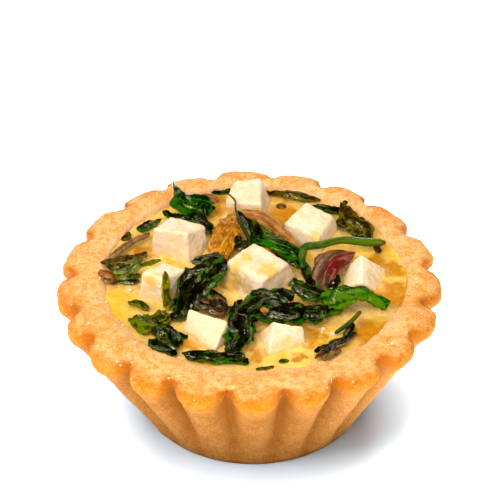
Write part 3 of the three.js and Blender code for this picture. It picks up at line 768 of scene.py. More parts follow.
# Top corners clockwise from the back left, and the same corners where they enter the custard.
CHEESE = {
    "cheese_back": (
        [[-3.3, 31.9, 6.7], [2.5, 33.4, 6.5], [2.9, 24, 5.3], [-5.8, 25.2, 5.3]],
        [[-3.7, 32.6], [5.5, 31.8], [3.1, 24.3], [-6, 25.8]],
    ),
    "cheese_back_right": (
        [[7.8, 16.9, 5.5], [13.2, 24, 6.1], [19.8, 20, 5.1], [15.9, 12.2, 4.3]],
        [[7.1, 16], [13.8, 24.5], [21, 20.2], [16.6, 10.9]],
    ),
    "cheese_left": (
        [[-18.4, 17.8, 6.5], [-10.5, 15, 5.9], [-14.4, 9.8, 7.5], [-22.7, 11.3, 7.9]],
        [[-18.3, 18.1], [-9.3, 13.4], [-14.4, 7.7], [-23, 12.1]],
    ),
    "cheese_left_front": (
        [[-20, -0.6, 7.1], [-14.7, -2.2, 6.5], [-19.6, -7, 7.1], [-24.8, -4.5, 7.5]],
        [[-20.1, -0.4], [-14.6, -3.1], [-19.6, -7.9], [-26, -4.5]],
    ),
    "cheese_middle": (
        [[-5.3, -0.2, 7.5], [0.8, 7, 7.5], [8.9, -0.6, 7.1], [2.7, -8, 7.1]],
        [[-7.7, -1], [0.7, 7.9], [11.5, 1.5], [1.6, -8.6]],
    ),
    "cheese_front_left": (
        [[-13.7, -15.8, 5.7], [-5.2, -19.9, 5.3], [-8.1, -25.4, 1.3], [-15.3, -17.9, 1.7]],
        [[-14, -16.1], [-4.4, -20.2], [-7.9, -25.6], [-15.4, -18.1]],
    ),
    "cheese_right": (
        [[25.7, 3.3, 6.4], [31.6, 4.9, 0.7], [30.9, -2, -1.1], [25.5, -4, 3.3]],
        [[21.5, 5.2], [31.1, 5.2], [30.3, -2.3], [20.3, -1.7]],
    ),
    "cheese_front": (
        [[5.1, -20.2, 5.5], [11.9, -20.6, 4.3], [12.3, -21.9, 0.3], [3.9, -26.4, 0.5]],
        [[1.3, -18.5], [12.5, -19.3], [12.5, -22.1], [3.1, -25.9]],
    ),
    "cheese_front_right": (
        [[19.7, -8.2, 0.6], [24.8, -10, 1.5], [28.3, -10.3, 0.6], [22.7, -14.1, 0.5]],
        [[19.5, -8], [24.8, -7.3], [28.5, -10.5], [22.7, -14.5]],
    ),
}
CHEESE_CUTS = 28
CHEESE_EDGE = 0.15  # softness of a cube's edges, as a share of half its width
CHEESE_SINK = 2.5
CHEESE_LUMPS = (0.36, 4, 1)  # height, wavelength and octaves, as of all lumps
CHEESE_GRAIN = (0.17, 1.4, 3)
SPOT_RAGGEDNESS = (0.5, 1.5, 3)
LOWEST_CORNER = 2  # a lower corner than this is sunk along its side as one of this height
# Yellow stains, brown spots of painted shade and stain, and pepper on the cubes: where each lies, and its
# radius.
# The two low stains on the middle cube's left face stand partly for painted shade from the leaf pile beside
# it.
STAINS = [
    (-0.9, 0.9, 7.5, 1.4), (4.1, -3.8, 7.3, 2.6), (8, -4.6, 5.9, 1.2), (-4.6, -3, 4.1, 2.4),
    (-5.4, -3.4, 1.9, 2.4), (-4.5, 24.9, 2.7, 1.4), (-1.5, 24.6, 2.7, 1.4), (1.6, 24.3, 2.7, 1.4),
    (15.2, 13.2, 4.5, 1.1), (16.4, 12.2, 3.1, 1.1), (-22.6, -2.2, 7.3, 1.2), (-11, 9.4, 3.9, 2),
    (-8.6, -22, 4.5, 1),
]
# Painted shade where the leaf pile shades the middle cube's left face, with custard stain in it.
PAINTED_SHADE_AND_STAIN = [
    (-6.6, -0.6, 5.5, 1.6), (-7.2, -1, 3.9, 2), (-7.6, -1.4, 1.9, 2.4), (-4, -4.6, 4.1, 2.4),
    (-1.6, -7, 3.9, 2.4),
]
PEPPER = [(17.6, 14.7, 4.1, 1.4), (6.9, -22.9, 4.5, 1.4), (6.2, -24, 3.1, 1.2), (-21.3, -5.7, 5.5, 1)]

# Crumbs of cheese in the custard: where each lies, and its three half sizes.
CHEESE_CRUMBS = [
    (18.9, -18.7, 0.6, 0.8, 0.5, 0.5), (16.6, -17, 0.5, 0.5, 0.4, 0.4), (16.2, -18, 0.4, 0.3, 0.3, 0.3),
    (-27.6, -2.2, 0.5, 0.5, 0.4, 0.3), (-2.2, 11.4, 1.9, 0.9, 0.7, 0.6), (8.6, -23.4, 0.4, 0.5, 0.3, 0.3),
]


def from_floor(rows):
    """The rows of a table, with the height in each taken from the floor instead of the filling's level."""
    rows = np.array(rows, float)
    rows[:, 2] += CUSTARD_LEVEL
    return rows


def unit_cube():
    """Points of a finely cut cube from -1 to 1, and its faces."""
    cube = bmesh.new()
    bmesh.ops.create_cube(cube, size=2)
    bmesh.ops.subdivide_edges(cube, edges=cube.edges[:], cuts=CHEESE_CUTS, use_grid_fill=True)
    return mesh_arrays(cube)


def soften(points, edge):
    """Rounds the edges of a cube from -1 to 1."""
    core = np.clip(points, edge - 1, 1 - edge)
    out = points - core
    return core + edge * out / np.maximum(np.linalg.norm(out, axis=1, keepdims=True), 1e-9)


def stretch_to(upper, lower, share):
    """Points of a cube, given as shares from 0 to 1, carried into its four upper and four lower corners."""
    x, y, z = share.T[..., None]
    back_left, back_right, front_right, front_left = (between(*ends, z) for ends in zip(lower, upper))
    return between(between(front_left, front_right, x), between(back_left, back_right, x), y)


def cheese_corners(top, foot):
    """The upper corners, and the lower ones, to which the sides run on below the filling."""
    upper = np.array(top, float)
    height = upper[:, 2:]
    on_custard = np.column_stack([foot, np.zeros(len(foot))])
    lower = between(upper, on_custard, (height + CHEESE_SINK) / np.maximum(height, LOWEST_CORNER))
    lower[:, 2] = -CHEESE_SINK
    return from_floor(upper), from_floor(lower)


def spots(points, spot_list):
    """1 inside the round spots and 0 outside them, with ragged edges."""
    ragged = 1 + relief(points, *SPOT_RAGGEDNESS, 33)
    shares = np.zeros(len(points))
    for *place, radius in from_floor(spot_list):
        distance = np.linalg.norm(points - place, axis=1) * ragged
        shares = np.maximum(shares, 1 - smoothstep(0.6 * radius, 1.3 * radius, distance))
    return shares


def make_cheese():
    cube, faces = unit_cube()
    shape = (soften(cube, CHEESE_EDGE) + 1) / 2
    look = cheese_look()
    for seed, (node, (top, foot)) in enumerate(CHEESE.items()):
        points = stretch_to(*cheese_corners(top, foot), shape)
        outwards = points - points.mean(axis=0)
        outwards /= np.linalg.norm(outwards, axis=1, keepdims=True)
        bumps = relief(points, *CHEESE_LUMPS, 40 + seed) + relief(points, *CHEESE_GRAIN, 50)
        points = points + outwards * bumps[:, None]
        above = points[:, 2] - custard_height(points[:, 0], points[:, 1])
        yellowed = smoothstep(0.3, 0.7, soft_noise(points, 5, 60 + seed))
        marks = {
            # soaked foot, with painted light bounced from the custard up the sides
            "foot": 1 - smoothstep(0, 3.2, above + 1.2 * soft_noise(points, 2, 55)),
            "stain": np.maximum(spots(points, STAINS), yellowed),
            "pepper": spots(points, PEPPER),
            # painted shade and custard stain on the middle cube's side
            "brown": spots(points, PAINTED_SHADE_AND_STAIN),
        }
        dress(node, add_piece("quiche_" + node, points, faces, look, marks))
    crumbs = from_floor(CHEESE_CRUMBS)
    make_lumps("cheese_crumbs", crumbs[:, :3], crumbs[:, 3:], look)


# --- Leaves, onion and stalks ---

# Each leaf and strip of onion: its look, its lean in degrees, how much it arches, and the points of its
# middle line with its width at each of them.
TOPPINGS = {
    "leaf_arch": ("leaf", 30, 0.6, [
        [1.2, -17, 2.5, 3.4], [0.6, -13.6, 4.7, 4.2], [3, -12.4, 5.9, 4.4], [8.6, -13.3, 5.5, 4.2],
    ]),
    "leaf_centre": ("leaf", 15, 0.6, [
        [1.6, -15.4, 3.1, 4.2], [9.1, -15.8, 4, 5.4], [13.6, -15.3, 3.7, 5.2], [17.6, -12.3, 2.5, 3.4],
    ]),
    "leaf_under_stalk": ("leaf", 0, 0.4, [
        [11, -5.3, 4.7, 3.6], [13.1, -8.8, 4.5, 4.4], [16.1, -9.3, 3.5, 3.2],
    ]),
    "leaf_bright": ("bright", -12, 1.2, [
        [16.4, -9.8, 2.3, 4.4], [20.6, -10.7, 3.9, 6.6], [25.6, -9.8, 4.9, 6], [30.6, -11.7, 2.1, 2.6],
    ]),
    "leaf_big": ("leaf", -20, 0.6, [
        [-5.9, 1.2, 6.3, 4.4], [-9, -1.8, 6.1, 7], [-12.6, -6, 4.5, 7.4], [-15, -10.4, 2.7, 5.6],
        [-16.6, -14.2, 1.1, 3.6],
    ]),
    "leaf_big_flap": ("leaf", 0, 0, [
        [-13.4, 3, 4.1, 2.4], [-10.5, 3.4, 5.5, 3], [-8, 3.4, 5.9, 2.8], [-6, 3.9, 4.9, 2],
    ]),
    "leaf_back_middle": ("green", 20, 0.6, [
        [-0.8, 16.8, 3.4, 3.4], [3.5, 12.5, 3.9, 4.6], [8, 8.6, 4.1, 4.4], [11.7, 5.4, 3.7, 2.8],
    ]),
    "leaf_back_middle_low": ("leaf", 0, 0, [
        [6.2, 10.2, 1.7, 3], [9.5, 7.1, 2.1, 3.8], [12.7, 4.6, 1.9, 3.2],
    ]),
    "leaf_on_cube": ("yellow", 0, 0, [
        [-19.4, -5.6, 8.5, 1], [-19.2, -8.7, 6.5, 1.9], [-18.7, -9.5, 1.9, 2.6], [-18.3, -9.9, 0.7, 2],
    ]),
    "leaf_front_middle": ("leaf", 0, 0.5, [
        [-2.5, -11.5, 2.9, 4.6], [-2.2, -17.2, 3.5, 5.6], [-2.9, -23.2, 2.9, 5.4], [-4.6, -27.1, 1.3, 4],
    ]),
    "leaf_back_left": ("green", 25, 0.4, [
        [-18.3, 31.8, 5.9, 0.7], [-16.9, 29.6, 4.3, 2.4], [-14.6, 26.4, 3.4, 5.2], [-11.4, 25.8, 2.9, 5.6],
        [-9.6, 24.6, 2.1, 4],
    ]),
    "leaf_back_left_low": ("leaf", 0, 0, [
        [-20.6, 26.6, 1.4, 0.8], [-17.1, 23.7, 1.7, 2.6], [-12.6, 22.3, 1.9, 4], [-8.6, 18.3, 1.1, 2.8],
    ]),
    "leaf_strip_left": ("olive", 0, 0.3, [
        [-32.1, 2.7, 1.7, 1.8], [-27.6, 1.9, 2.9, 2.6], [-24.1, 0.2, 5.9, 1.8], [-20.4, -1.3, 8.1, 0.9],
    ]),
    "leaf_brown_left": ("brown_leaf", 0, 0.2, [
        [-33.1, 5, 1.4, 3.4], [-29.6, 6.7, 2, 4.2], [-25.2, 9.6, 1.4, 2.6],
    ]),
    "leaf_curl_left": ("leaf", 0, 0, [[-30.6, 0.1, 1.1, 1], [-27.5, -0.6, 1.5, 1.6], [-25.6, 0.4, 1.4, 1]]),
    "leaf_left": ("olive", 0, 0.2, [[-28, -7.5, 1, 1.4], [-25.6, -8.8, 1.5, 2.4], [-23.2, -10.4, 1.1, 1.8]]),
    "leaf_front_left": ("olive", 0, 0.2, [
        [-27, -15.4, 1.1, 4.4], [-23.5, -15.6, 1.5, 6.4], [-19.8, -13.3, 1.1, 4.4],
    ]),
    "leaf_front_left_dark": ("leaf", 0, 0.3, [
        [-22.4, -18.2, 1.3, 3.4], [-18.5, -20.2, 2.3, 4.8], [-16.2, -24.2, 1.3, 3],
    ]),
    "leaf_at_rim": ("leaf", 0, 0.2, [[-23, -22.2, 1.3, 2.4], [-20, -24.6, 1.8, 3.2], [-16.6, -26.9, 1.3, 2]]),
    "leaf_front": ("leaf", 0, 0.2, [
        [-15.1, -27, 1.1, 1.6], [-8.4, -28.5, 1.5, 3.2], [-4.6, -28.9, 1.5, 3.2], [-1, -28.9, 1.1, 2.4],
    ]),
    "leaf_front_right": ("leaf", 0, 0, [
        [14.3, -25.4, 0.9, 1], [18.2, -23.7, 1.3, 2.2], [22.9, -20, 0.9, 1.2],
    ]),
    "leaf_back": ("brown_leaf", 0, 0.2, [[4, 34.8, 1.1, 1.4], [9.9, 32.9, 1.5, 2.9], [16.8, 30.8, 1.1, 1.4]]),
    "leaf_back_right": ("leaf", 0, 0.2, [
        [15.1, 28.6, 1.1, 1.6], [18.5, 27.5, 1.7, 3.2], [21.7, 25.9, 1.3, 2.6],
    ]),
    "leaf_right": ("brown_leaf", 0, 0.2, [
        [21.9, 26.6, 3.3, 1], [23.4, 23.4, 2.5, 4.6], [25.4, 20, 1.9, 6], [28, 16, 1.3, 4],
    ]),
    "onion_arch": ("brown", 50, 0.3, [
        [-5.6, 20.8, 3.4, 2], [-0.1, 19.9, 5.2, 2.6], [5, 16, 5.5, 2.8], [9, 10.6, 4.9, 2.6],
        [11.7, 7.9, 3.8, 1.8],
    ]),
    "onion_red": ("red", 20, 0.8, [
        [15.6, -5, 2.7, 2.2], [16.8, -1, 4.2, 5.6], [19.3, 2.9, 4.8, 6], [24, 6.8, 3.4, 2],
    ]),
    "onion_caramel": ("caramel", 15, 0.3, [
        [-3, 19.4, 3.3, 6], [-5.6, 15.9, 3.1, 8], [-6.6, 11.4, 2.5, 6.6], [-6.7, 6.6, 1.5, 4],
    ]),
    "onion_grey": ("grey", 0, 0.3, [[-12, -8.4, 1.7, 3], [-8, -10, 2.4, 4.8], [-4.4, -11.2, 1.8, 3.6]]),
    "onion_strip_left": ("dark_onion", 0, 0.3, [
        [-23.6, 17.4, 1.9, 1], [-28.1, 13.7, 1.8, 2], [-32.8, 7.9, 1.5, 1.4],
    ]),
    "onion_at_rim_left": ("rust", 0, 0.3, [[-34.9, 2.4, 2.1, 1.4], [-33.2, 1, 1.8, 2.6], [-31, -1, 1.4, 2]]),
    "onion_at_rim_right": ("grey", 0, 0.2, [
        [23.9, -19.5, 1.4, 1.2], [19.2, -24.7, 1.5, 2], [14.5, -28.4, 1.3, 1],
    ]),
}
# Stalks: the look and the same kind of line.
STALKS = {
    "stalk_long": ("stalk", [
        [31.6, 11.8, 3.1, 1.9], [27, 10.7, 4.1, 1.9], [21.5, 10.2, 5.1, 1.7], [16.5, 7.2, 6.1, 1.7],
        [13, 5.6, 6.7, 1.8], [12, 2.6, 6.5, 1.7], [12.2, -1.3, 5.9, 1.2],
    ]),
    "stalk_back": ("dark_stalk", [
        [-5.1, 26.8, 6.5, 0.4], [-3.5, 24, 6.5, 0.45], [-3.3, 19.9, 6.9, 0.5], [-2.1, 14.9, 6.5, 0.8],
        [0, 9.8, 5.5, 0.9],
    ]),
    "stalk_front_right": ("brown_stalk", [
        [25.1, -15.2, 4.1, 0.9], [22.6, -17.2, 2.5, 1], [19.1, -19.7, 1.3, 0.8],
    ]),
}
# Scraps too small for a CAD node, by the node beside which they lie: look and middle line with widths.
SCRAPS = {
    "leaf_back_left_low": [
        ("leaf", [[-26.6, 20.6, 0.5, 2.4], [-24, 22, 0.9, 2.6], [-21, 25, 0.5, 0.8]]),
        ("leaf", [[-9.2, 35.2, 0.5, 0.8], [-7, 35.2, 0.7, 1.6], [-4.4, 35.6, 0.7, 1.8]]),
    ],
    "leaf_brown_left": [
        ("brown_leaf", [[-29.8, 16.4, 0.5, 1.6], [-28.4, 19.2, 0.7, 1.6]]),
        ("brown_leaf", [[-33.8, 1.2, 1.9, 2.4], [-32.4, 0.4, 1.7, 2.6], [-31.4, 1.8, 1.5, 1.6]]),
        ("brown_leaf", [[1.2, -31.8, 0.7, 0.8], [3, -31.6, 0.8, 1], [5.2, -30.8, 0.7, 0.6]]),
    ],
    "leaf_big": [
        ("leaf", [[-9.6, -4.4, 2, 1.6], [-7.4, -6.6, 1.7, 2.2], [-5.4, -7.8, 0.9, 1.2]]),
        ("leaf", [[-16.8, -19, 1.1, 1.2], [-15.4, -20.2, 1.3, 2], [-14.2, -19.8, 0.9, 1]]),
    ],
    "leaf_under_stalk": [
        ("leaf", [[19.6, 1, 2.9, 1.8], [19.4, -1.4, 2.1, 2.8], [18.6, -4, 0.9, 2.2]]),
        ("leaf", [[12.2, 2.8, 4.5, 1.6], [13.4, -2.8, 4.1, 2.4], [14.8, -6.8, 3.5, 2.6]]),
    ],
    "leaf_bright": [("bright", [[16.6, -12, 0.9, 2.2], [18.8, -12, 1.7, 3.2], [21.4, -10.2, 2.1, 1.4]])],
    "leaf_back_middle": [
        ("leaf", [[-2.8, 20.8, 5.5, 1.4], [-0.8, 16.4, 5.3, 2], [0.4, 11.8, 5.3, 2.2]]),
        ("leaf", [[-0.4, 19.6, 4.7, 2.6], [1.4, 15.6, 4.7, 3.4], [3.2, 10, 4.5, 2.6]]),
        ("leaf", [[-3.2, 10.8, 3.7, 1.4], [-2.4, 13.2, 3.9, 2]]),
    ],
    "leaf_right": [("leaf", [[22, 27, 3.7, 1.6], [23, 26.6, 3.3, 2]])],
    "leaf_front_right": [
        ("leaf", [[23, -16.6, 2.1, 1.2], [22.6, -18.4, 1.3, 2.2], [21.2, -20.6, 0.8, 1.6]]),
        ("olive", [[6.4, -29, 0.7, 0.8], [7.6, -28.8, 0.8, 1.4], [8.6, -28.6, 0.7, 0.8]]),
    ],
    "leaf_front_middle": [
        ("leaf", [[-5.6, -24.6, 1.3, 1.6], [-3.2, -27, 1.1, 2.6], [-1.2, -27.2, 0.8, 1.2]]),
        ("leaf", [[-2.2, -9.2, 2.9, 1.6], [-2.8, -12.8, 3.1, 2]]),
    ],
    "leaf_strip_left": [
        ("olive", [[-32, 1.6, 1.3, 1.6], [-28.6, 1, 1.7, 2.4], [-25.4, 2.4, 1.3, 1.2]]),
        ("olive", [[-26.8, -12.8, 0.9, 2.4], [-23.8, -16, 1.1, 3.6], [-20.6, -17.6, 0.9, 2.4]]),
        ("olive", [[-20.4, -21.2, 0.9, 2.4], [-18.6, -23.2, 1, 2.6], [-17.2, -23.8, 0.7, 1.2]]),
    ],
    "onion_strip_left": [("brown", [[-12.6, 34.4, 0.1, 1.6], [-9.4, 33.2, 0.2, 3], [-6.8, 31.2, 0, 1.4]])],
    "onion_grey": [
        ("dark_onion", [[6.4, 29.6, 0.1, 1.2], [7.4, 29.8, 0.3, 1.8], [8.6, 29.6, 0.1, 1.2]]),
        ("grey", [[29, 12.4, 1.7, 1.4], [30.4, 10.8, 1.1, 1.8]]),
        ("grey", [[-3.2, 10.6, 2.1, 2], [-1.6, 11.8, 2.3, 2.8], [-0.4, 13.2, 2.5, 1.4]]),
    ],
    "onion_caramel": [
        ("caramel", [[2.8, 9.4, 3.9, 2.4], [4.6, 6.6, 3.3, 2.6], [6, 5.4, 2.5, 1.6]]),
        ("brown", [[2.4, -14.6, 4.7, 1.4], [4, -15.8, 4.3, 2]]),
        ("dark_onion", [[16, -28.6, 0.9, 1], [17.8, -27.4, 1.1, 1.6], [20.2, -25.2, 1, 1.2]]),
    ],
}
SCRAP_CAMBER = 0.2
SCRAP_SEED = 200

LEAF_KINDS = ("leaf", "bright", "green", "olive", "brown_leaf", "yellow")
# How strongly each look is crumpled, from a flat sheet at 0 to a cooked leaf at 1.
CRUMPLING = {
    "leaf": 1, "olive": 0.9, "brown_leaf": 0.9, "bright": 0.7, "green": 0.6, "yellow": 0.5,
    "grey": 1, "dark_onion": 0.6, "rust": 1, "caramel": 0.65, "brown": 0.25, "red": 0.2,
}
SHEET_STEP = 0.18
LEAF_THICKNESS = 0.3
ONION_THICKNESS = 0.7
RAGGEDNESS = 0.45  # of a fully crumpled sheet's outline, as a share of its half width
RAGGED_WAVELENGTHS = (0.9, 2.2)  # on the narrowest and the widest sheets
TAPER = 0.35  # the length of a sheet's rounded ends, as a share of its width
# Folds of a crumpled sheet: height, wavelength and seed of the large ones and of the two kinds of fine ones.
LARGE_FOLDS = (0.9, 2.8, 80)
FINE_FOLDS = [(0.3, 1.2, 81), (0.15, 0.6, 82)]
FOLD_WANDER = 2.4
FOLD_STRETCH = 0.36  # across the sheet the folds are this much shorter than along it
FOLD_LEAN = 0.5
EDGE_DROOP = 0.5
EDGE_THINNING = 0.75
NARROWEST = 0.4  # no sheet or stalk gets narrower than this towards its ends
ROOM_WIDTH = 5  # a sheet of this width has room for folds of the full height
LAYERS = 3
LAYERED_FROM = 0.5  # sheets crumpled more than this are layered where they are wide
LAYERED_WIDTH = 3  # a leaf wider than this is several crumpled layers
LAYER_SEEDS = 50
LAYER_RISE = 0.35
LAYER_SHIFT = 0.9  # as a share of the first layer's width
LAYER_WIDTH = 0.6  # likewise
STALK_STEP = 0.25
STALK_COLUMNS = 20
STALK_RIBS = 5
STALK_RIB_DEPTH = 0.09  # as a share of the radius
STALK_KNOBS = 0.15  # likewise


def route_curve(route, share):
    """A smooth curve through the rows of the route, at the given shares of its length."""
    before, after = 2 * route[0] - route[1], 2 * route[-1] - route[-2]
    ends = np.vstack([before, route, after])
    place = np.clip(share * (len(route) - 1), 0, len(route) - 1 - 1e-9)
    step = place.astype(int)
    t = (place - step)[:, None]
    a, b, c, d = (ends[step + i] for i in range(4))
    return 0.5 * (2 * b + (c - a) * t + (2 * a - 5 * b + 4 * c - d) * t**2 + (3 * b - a - 3 * c + d) * t**3)


def route_length(route):
    return np.linalg.norm(np.diff(route[:, :3], axis=0), axis=1).sum()


def frames_along(route, steps, lean=0.0):
    """Along a route: the middle line, the width, the level direction across, and the upward normal."""
    centre, width = np.split(route_curve(route, np.linspace(0, 1, steps)), [3], axis=1)
    heading = np.gradient(centre, axis=0)
    heading /= np.linalg.norm(heading, axis=1, keepdims=True)
    side = np.cross([0, 0, 1], heading)
    side /= np.linalg.norm(side, axis=1, keepdims=True)
    upward = np.cross(heading, side)
    lean = math.radians(lean)
    leaning = side * math.cos(lean) + upward * math.sin(lean)
    return centre, np.maximum(width[:, 0], NARROWEST), leaning, np.cross(heading, leaning)


def sheet_faces(rows, columns):
    """Faces of an upper grid, the same grid below it, and the strip round both."""
    start = (np.arange(rows - 1)[:, None] * columns + np.arange(columns - 1)).reshape(-1, 1)
    upper = start + np.array([0, 1, columns + 1, columns])
    count = rows * columns
    lower = start + count + np.array([0, columns, columns + 1, 1])
    top = np.arange(columns)
    rim = np.concatenate([
        top,
        np.arange(1, rows) * columns + columns - 1,
        (rows - 1) * columns + top[-2::-1],
        np.arange(rows - 2, 0, -1) * columns,
    ])
    after = np.roll(rim, -1)
    edge = np.stack([rim, rim + count, after + count, after], axis=-1)
    return upper.tolist() + lower.tolist() + edge.tolist()


def folds(flat, height, wavelength, seed):
    """Rounded ridges along winding lines, as high as given."""
    wander = soft_noise(flat, wavelength, seed)
    return height * (1 - 2.2 * np.sqrt(wander**2 + 0.04**2))


def crumple(flat, room):
    """How far a cooked leaf's folds stand up, and how far they lean over, at each flat place."""
    warp = np.stack([soft_noise(flat, 4, 90 + i) for i in range(3)], axis=-1)
    bent = (flat + FOLD_WANDER * warp) * [FOLD_STRETCH, 1, 1]
    large = room * folds(bent, *LARGE_FOLDS)
    fine = min(1, 1.6 * room) * sum(folds(bent, *row) for row in FINE_FOLDS)
    return large + fine - 0.5 * room, FOLD_LEAN * room * soft_noise(bent, 2.2, 83)


def layered(route, layer, seed):
    """The route of a further layer of the same leaf, beside the first and shorter and narrower than it."""
    points = route.copy()
    if layer:
        keys = places_at(3.7 * np.arange(len(points)), 0, SEED_STEP * seed)
        across = np.stack([soft_noise(keys, 2.9, 60), soft_noise(keys, 2.9, 61)], axis=-1)
        points[:, :2] += LAYER_SHIFT * across * points[:, 3:]
        points[:, 2] += LAYER_RISE
        points[:, 3] *= LAYER_WIDTH
    return points


def half_width(along, width, widest, ragged, seed, number):
    """How far a sheet reaches to one side of its middle line, with a ragged and tapering outline."""
    edge = places_at(along, 0, SEED_STEP * seed)
    wavelength = np.clip(0.8 * widest, *RAGGED_WAVELENGTHS)
    to_end = np.minimum(along, along[-1] - along)
    taper = np.minimum(1, np.sqrt(to_end / (TAPER * widest) + 0.02))
    return (width / 2 * taper * (1 + ragged * rough_noise(edge, wavelength, 3, 70 + 5 * number)))[:, None]


def sheet_points(kind, lean, camber, route, seed):
    """Middle surface of a leaf or a strip as a grid of points, with its upward direction and its marks."""
    length, widest = route_length(route), route[:, 3].max()
    rows, columns = int(length / SHEET_STEP) + 3, int(widest / SHEET_STEP) + 3
    centre, width, side, upward = frames_along(route, rows, lean)
    along, across = np.linspace(0, 1, rows) * length, np.linspace(-1, 1, columns)
    ragged = RAGGEDNESS * between(0.3, 1, CRUMPLING[kind])
    left, right = (half_width(along, width, widest, ragged, seed, number) for number in range(2))
    out = across * np.where(across < 0, left, right)
    flat = places_at(along[:, None], out, SEED_STEP * seed)
    room = np.clip(widest / ROOM_WIDTH, 0.45, 1) * CRUMPLING[kind]
    rise, shift = crumple(flat, room)
    lift = camber * (1 - across**2) + rise - EDGE_DROOP * room * np.abs(across) ** 3
    grid = centre[:, None] + side[:, None] * (out + shift)[..., None] + upward[:, None] * lift[..., None]
    marks = {
        "edge": np.broadcast_to(np.abs(across), out.shape),
        "across": out,
        "along": flat[..., 0],
        "seed": np.full(out.shape, float(seed)),
    }
    return grid, upward, marks, across


def make_sheet(kind, lean, camber, route, seed):
    """Points, faces and marks of one leaf or strip with both its faces."""
    grid, upward, marks, across = sheet_points(kind, lean, camber, route, seed)
    rows, columns = grid.shape[:2]
    normals = grid_normals(grid, closed=False)
    if (normals * upward[:, None]).sum(axis=-1).mean() < 0:
        normals = -normals
    share = np.linspace(-1, 1, rows)
    thickness = LEAF_THICKNESS if kind in LEAF_KINDS else ONION_THICKNESS
    thin = 1 - EDGE_THINNING * np.maximum(np.abs(across), np.abs(share)[:, None]) ** 6
    half = (thickness / 2 * thin)[..., None] * normals
    points = np.vstack([(grid + half).reshape(-1, 3), (grid - half).reshape(-1, 3)])
    marks = {key: np.tile(values.ravel(), 2) for key, values in marks.items()}
    return points, sheet_faces(rows, columns), marks


def join_sheets(name, sheets, look):
    """One piece out of several sheets."""
    points, faces = joined([(points, faces) for points, faces, marks in sheets])
    marks = {key: np.concatenate([marks[key] for points, faces, marks in sheets]) for key in sheets[0][2]}
    return add_piece("quiche_" + name, points, faces, look, marks)


def make_topping(name, kind, lean, camber, route, seed, look):
    route = from_floor(route)
    is_layered = CRUMPLING[kind] > LAYERED_FROM and route[:, 3].max() > LAYERED_WIDTH
    sheets = []
    for layer in range(LAYERS if is_layered else 1):
        layer_seed = seed + LAYER_SEEDS * layer
        sheets.append(make_sheet(kind, lean, camber, layered(route, layer, layer_seed), layer_seed))
    return join_sheets(name, sheets, look)


def make_stalk(name, route, look):
    route = from_floor(route)
    length = route_length(route)
    rows = int(length / STALK_STEP)
    centre, width, side, upward = frames_along(route, rows)
    share = np.linspace(0, 1, rows)
    turn = np.arange(STALK_COLUMNS) / STALK_COLUMNS * 2 * math.pi
    radius = width / 2 * (1 + STALK_KNOBS * soft_noise(places_at(share * length, 0, 0), 3, 90))
    radius = radius * np.minimum(1, 0.45 + np.minimum(share, 1 - share) * length / width)
    radius = radius[:, None] * (1 + STALK_RIB_DEPTH * np.cos(STALK_RIBS * turn))
    around = side[:, None] * np.cos(turn)[:, None] + upward[:, None] * np.sin(turn)[:, None]
    rings = centre[:, None] + around * radius[..., None]
    points = np.vstack([rings.reshape(-1, 3), centre[0], centre[-1]])
    faces = [face[::-1] for face in ring_faces(rows, STALK_COLUMNS)]
    marks = {
        "along": np.repeat(share * length, STALK_COLUMNS),
        "across": np.tile(turn * width.mean() / 2, rows),
        "seed": np.zeros(rows * STALK_COLUMNS),
        "end": np.repeat(smoothstep(0.12, 0, share), STALK_COLUMNS),
        "ripe": np.repeat(1 - share, STALK_COLUMNS),
    }
    marks = {key: np.append(values, [values[0], values[-1]]) for key, values in marks.items()}
    return add_piece("quiche_" + name, points, faces, look, marks)


BLACK = (0.001, 0.001, 0)
BLACK_GREEN = (0.009, 0.008, 0.0002)
DARK_GREEN = (0.004, 0.035, 0.001)
GREEN = (0.012, 0.085, 0.001)
LIGHT_GREEN = (0.05, 0.13, 0.001)
OLIVE = (0.08, 0.075, 0.001)
YELLOW_GREEN = (0.26, 0.22, 0.004)
LEAF_BROWN = (0.07, 0.042, 0.001)
BROWN = (0.07, 0.036, 0.001)
GREY_BLACK = (0.002, 0.002, 0)
UMBER = (0.04, 0.022, 0.003)
# Leaves: the material, its dark, middle, bright and margin colours, and how much of it is bright.
LEAF_LOOKS = {
    "leaf": ("spinach", BLACK, BLACK_GREEN, GREEN, LEAF_BROWN, 0.33, WARM_SHINE),
    "bright": ("spinach_bright", (0.003, 0.035, 0), (0.015, 0.08, 0), LIGHT_GREEN, OLIVE, 0.6),
    "green": ("spinach_green", (0.001, 0.005, 0), DARK_GREEN, GREEN, OLIVE, 0.6),
    "olive": ("spinach_olive", (0.015, 0.015, 0), OLIVE, (0.09, 0.12, 0.001), LEAF_BROWN, 0.5),
    "brown_leaf": ("spinach_brown", (0.015, 0.007, 0), BROWN, (0.09, 0.075, 0.001), OLIVE, 0.35),
    "yellow": ("spinach_yellow", (0.05, 0.04, 0.001), (0.16, 0.13, 0.002), YELLOW_GREEN, OLIVE, 0.6),
    "grey": ("onion_grey", GREY_BLACK, UMBER, (0.13, 0.05, 0.015), LEAF_BROWN, 0.5, GREY_SHINE),
}
# Onion: the material, its pale and its deep colour, and its gloss.
ONION_LOOKS = {
    "brown": ("onion_brown", (0.4, 0.18, 0.04), (0.2, 0.055, 0.006)),
    "caramel": ("onion_caramel", (0.5, 0.21, 0.008), (0.24, 0.065, 0.002), 0.9),
    "dark_onion": ("onion_dark", (0.24, 0.12, 0.03), (0.07, 0.025, 0.004)),
    "rust": ("onion_rust", (0.3, 0.085, 0.012), (0.08, 0.012, 0.003)),
}
# Stalks: the material, its dark and its bright colour, and that of its tip.
STALK_LOOKS = {
    "stalk": ("stalk", (0.002, 0.04, 0), (0.065, 0.115, 0.001), (0.1, 0.045, 0.006)),
    "brown_stalk": ("stalk_brown", (0.012, 0.03, 0.001), (0.07, 0.07, 0.003), (0.06, 0.02, 0.003)),
    "dark_stalk": ("stalk_dark", (0.012, 0.014, 0.001), (0.06, 0.06, 0.002), (0.16, 0.085, 0.01)),
}


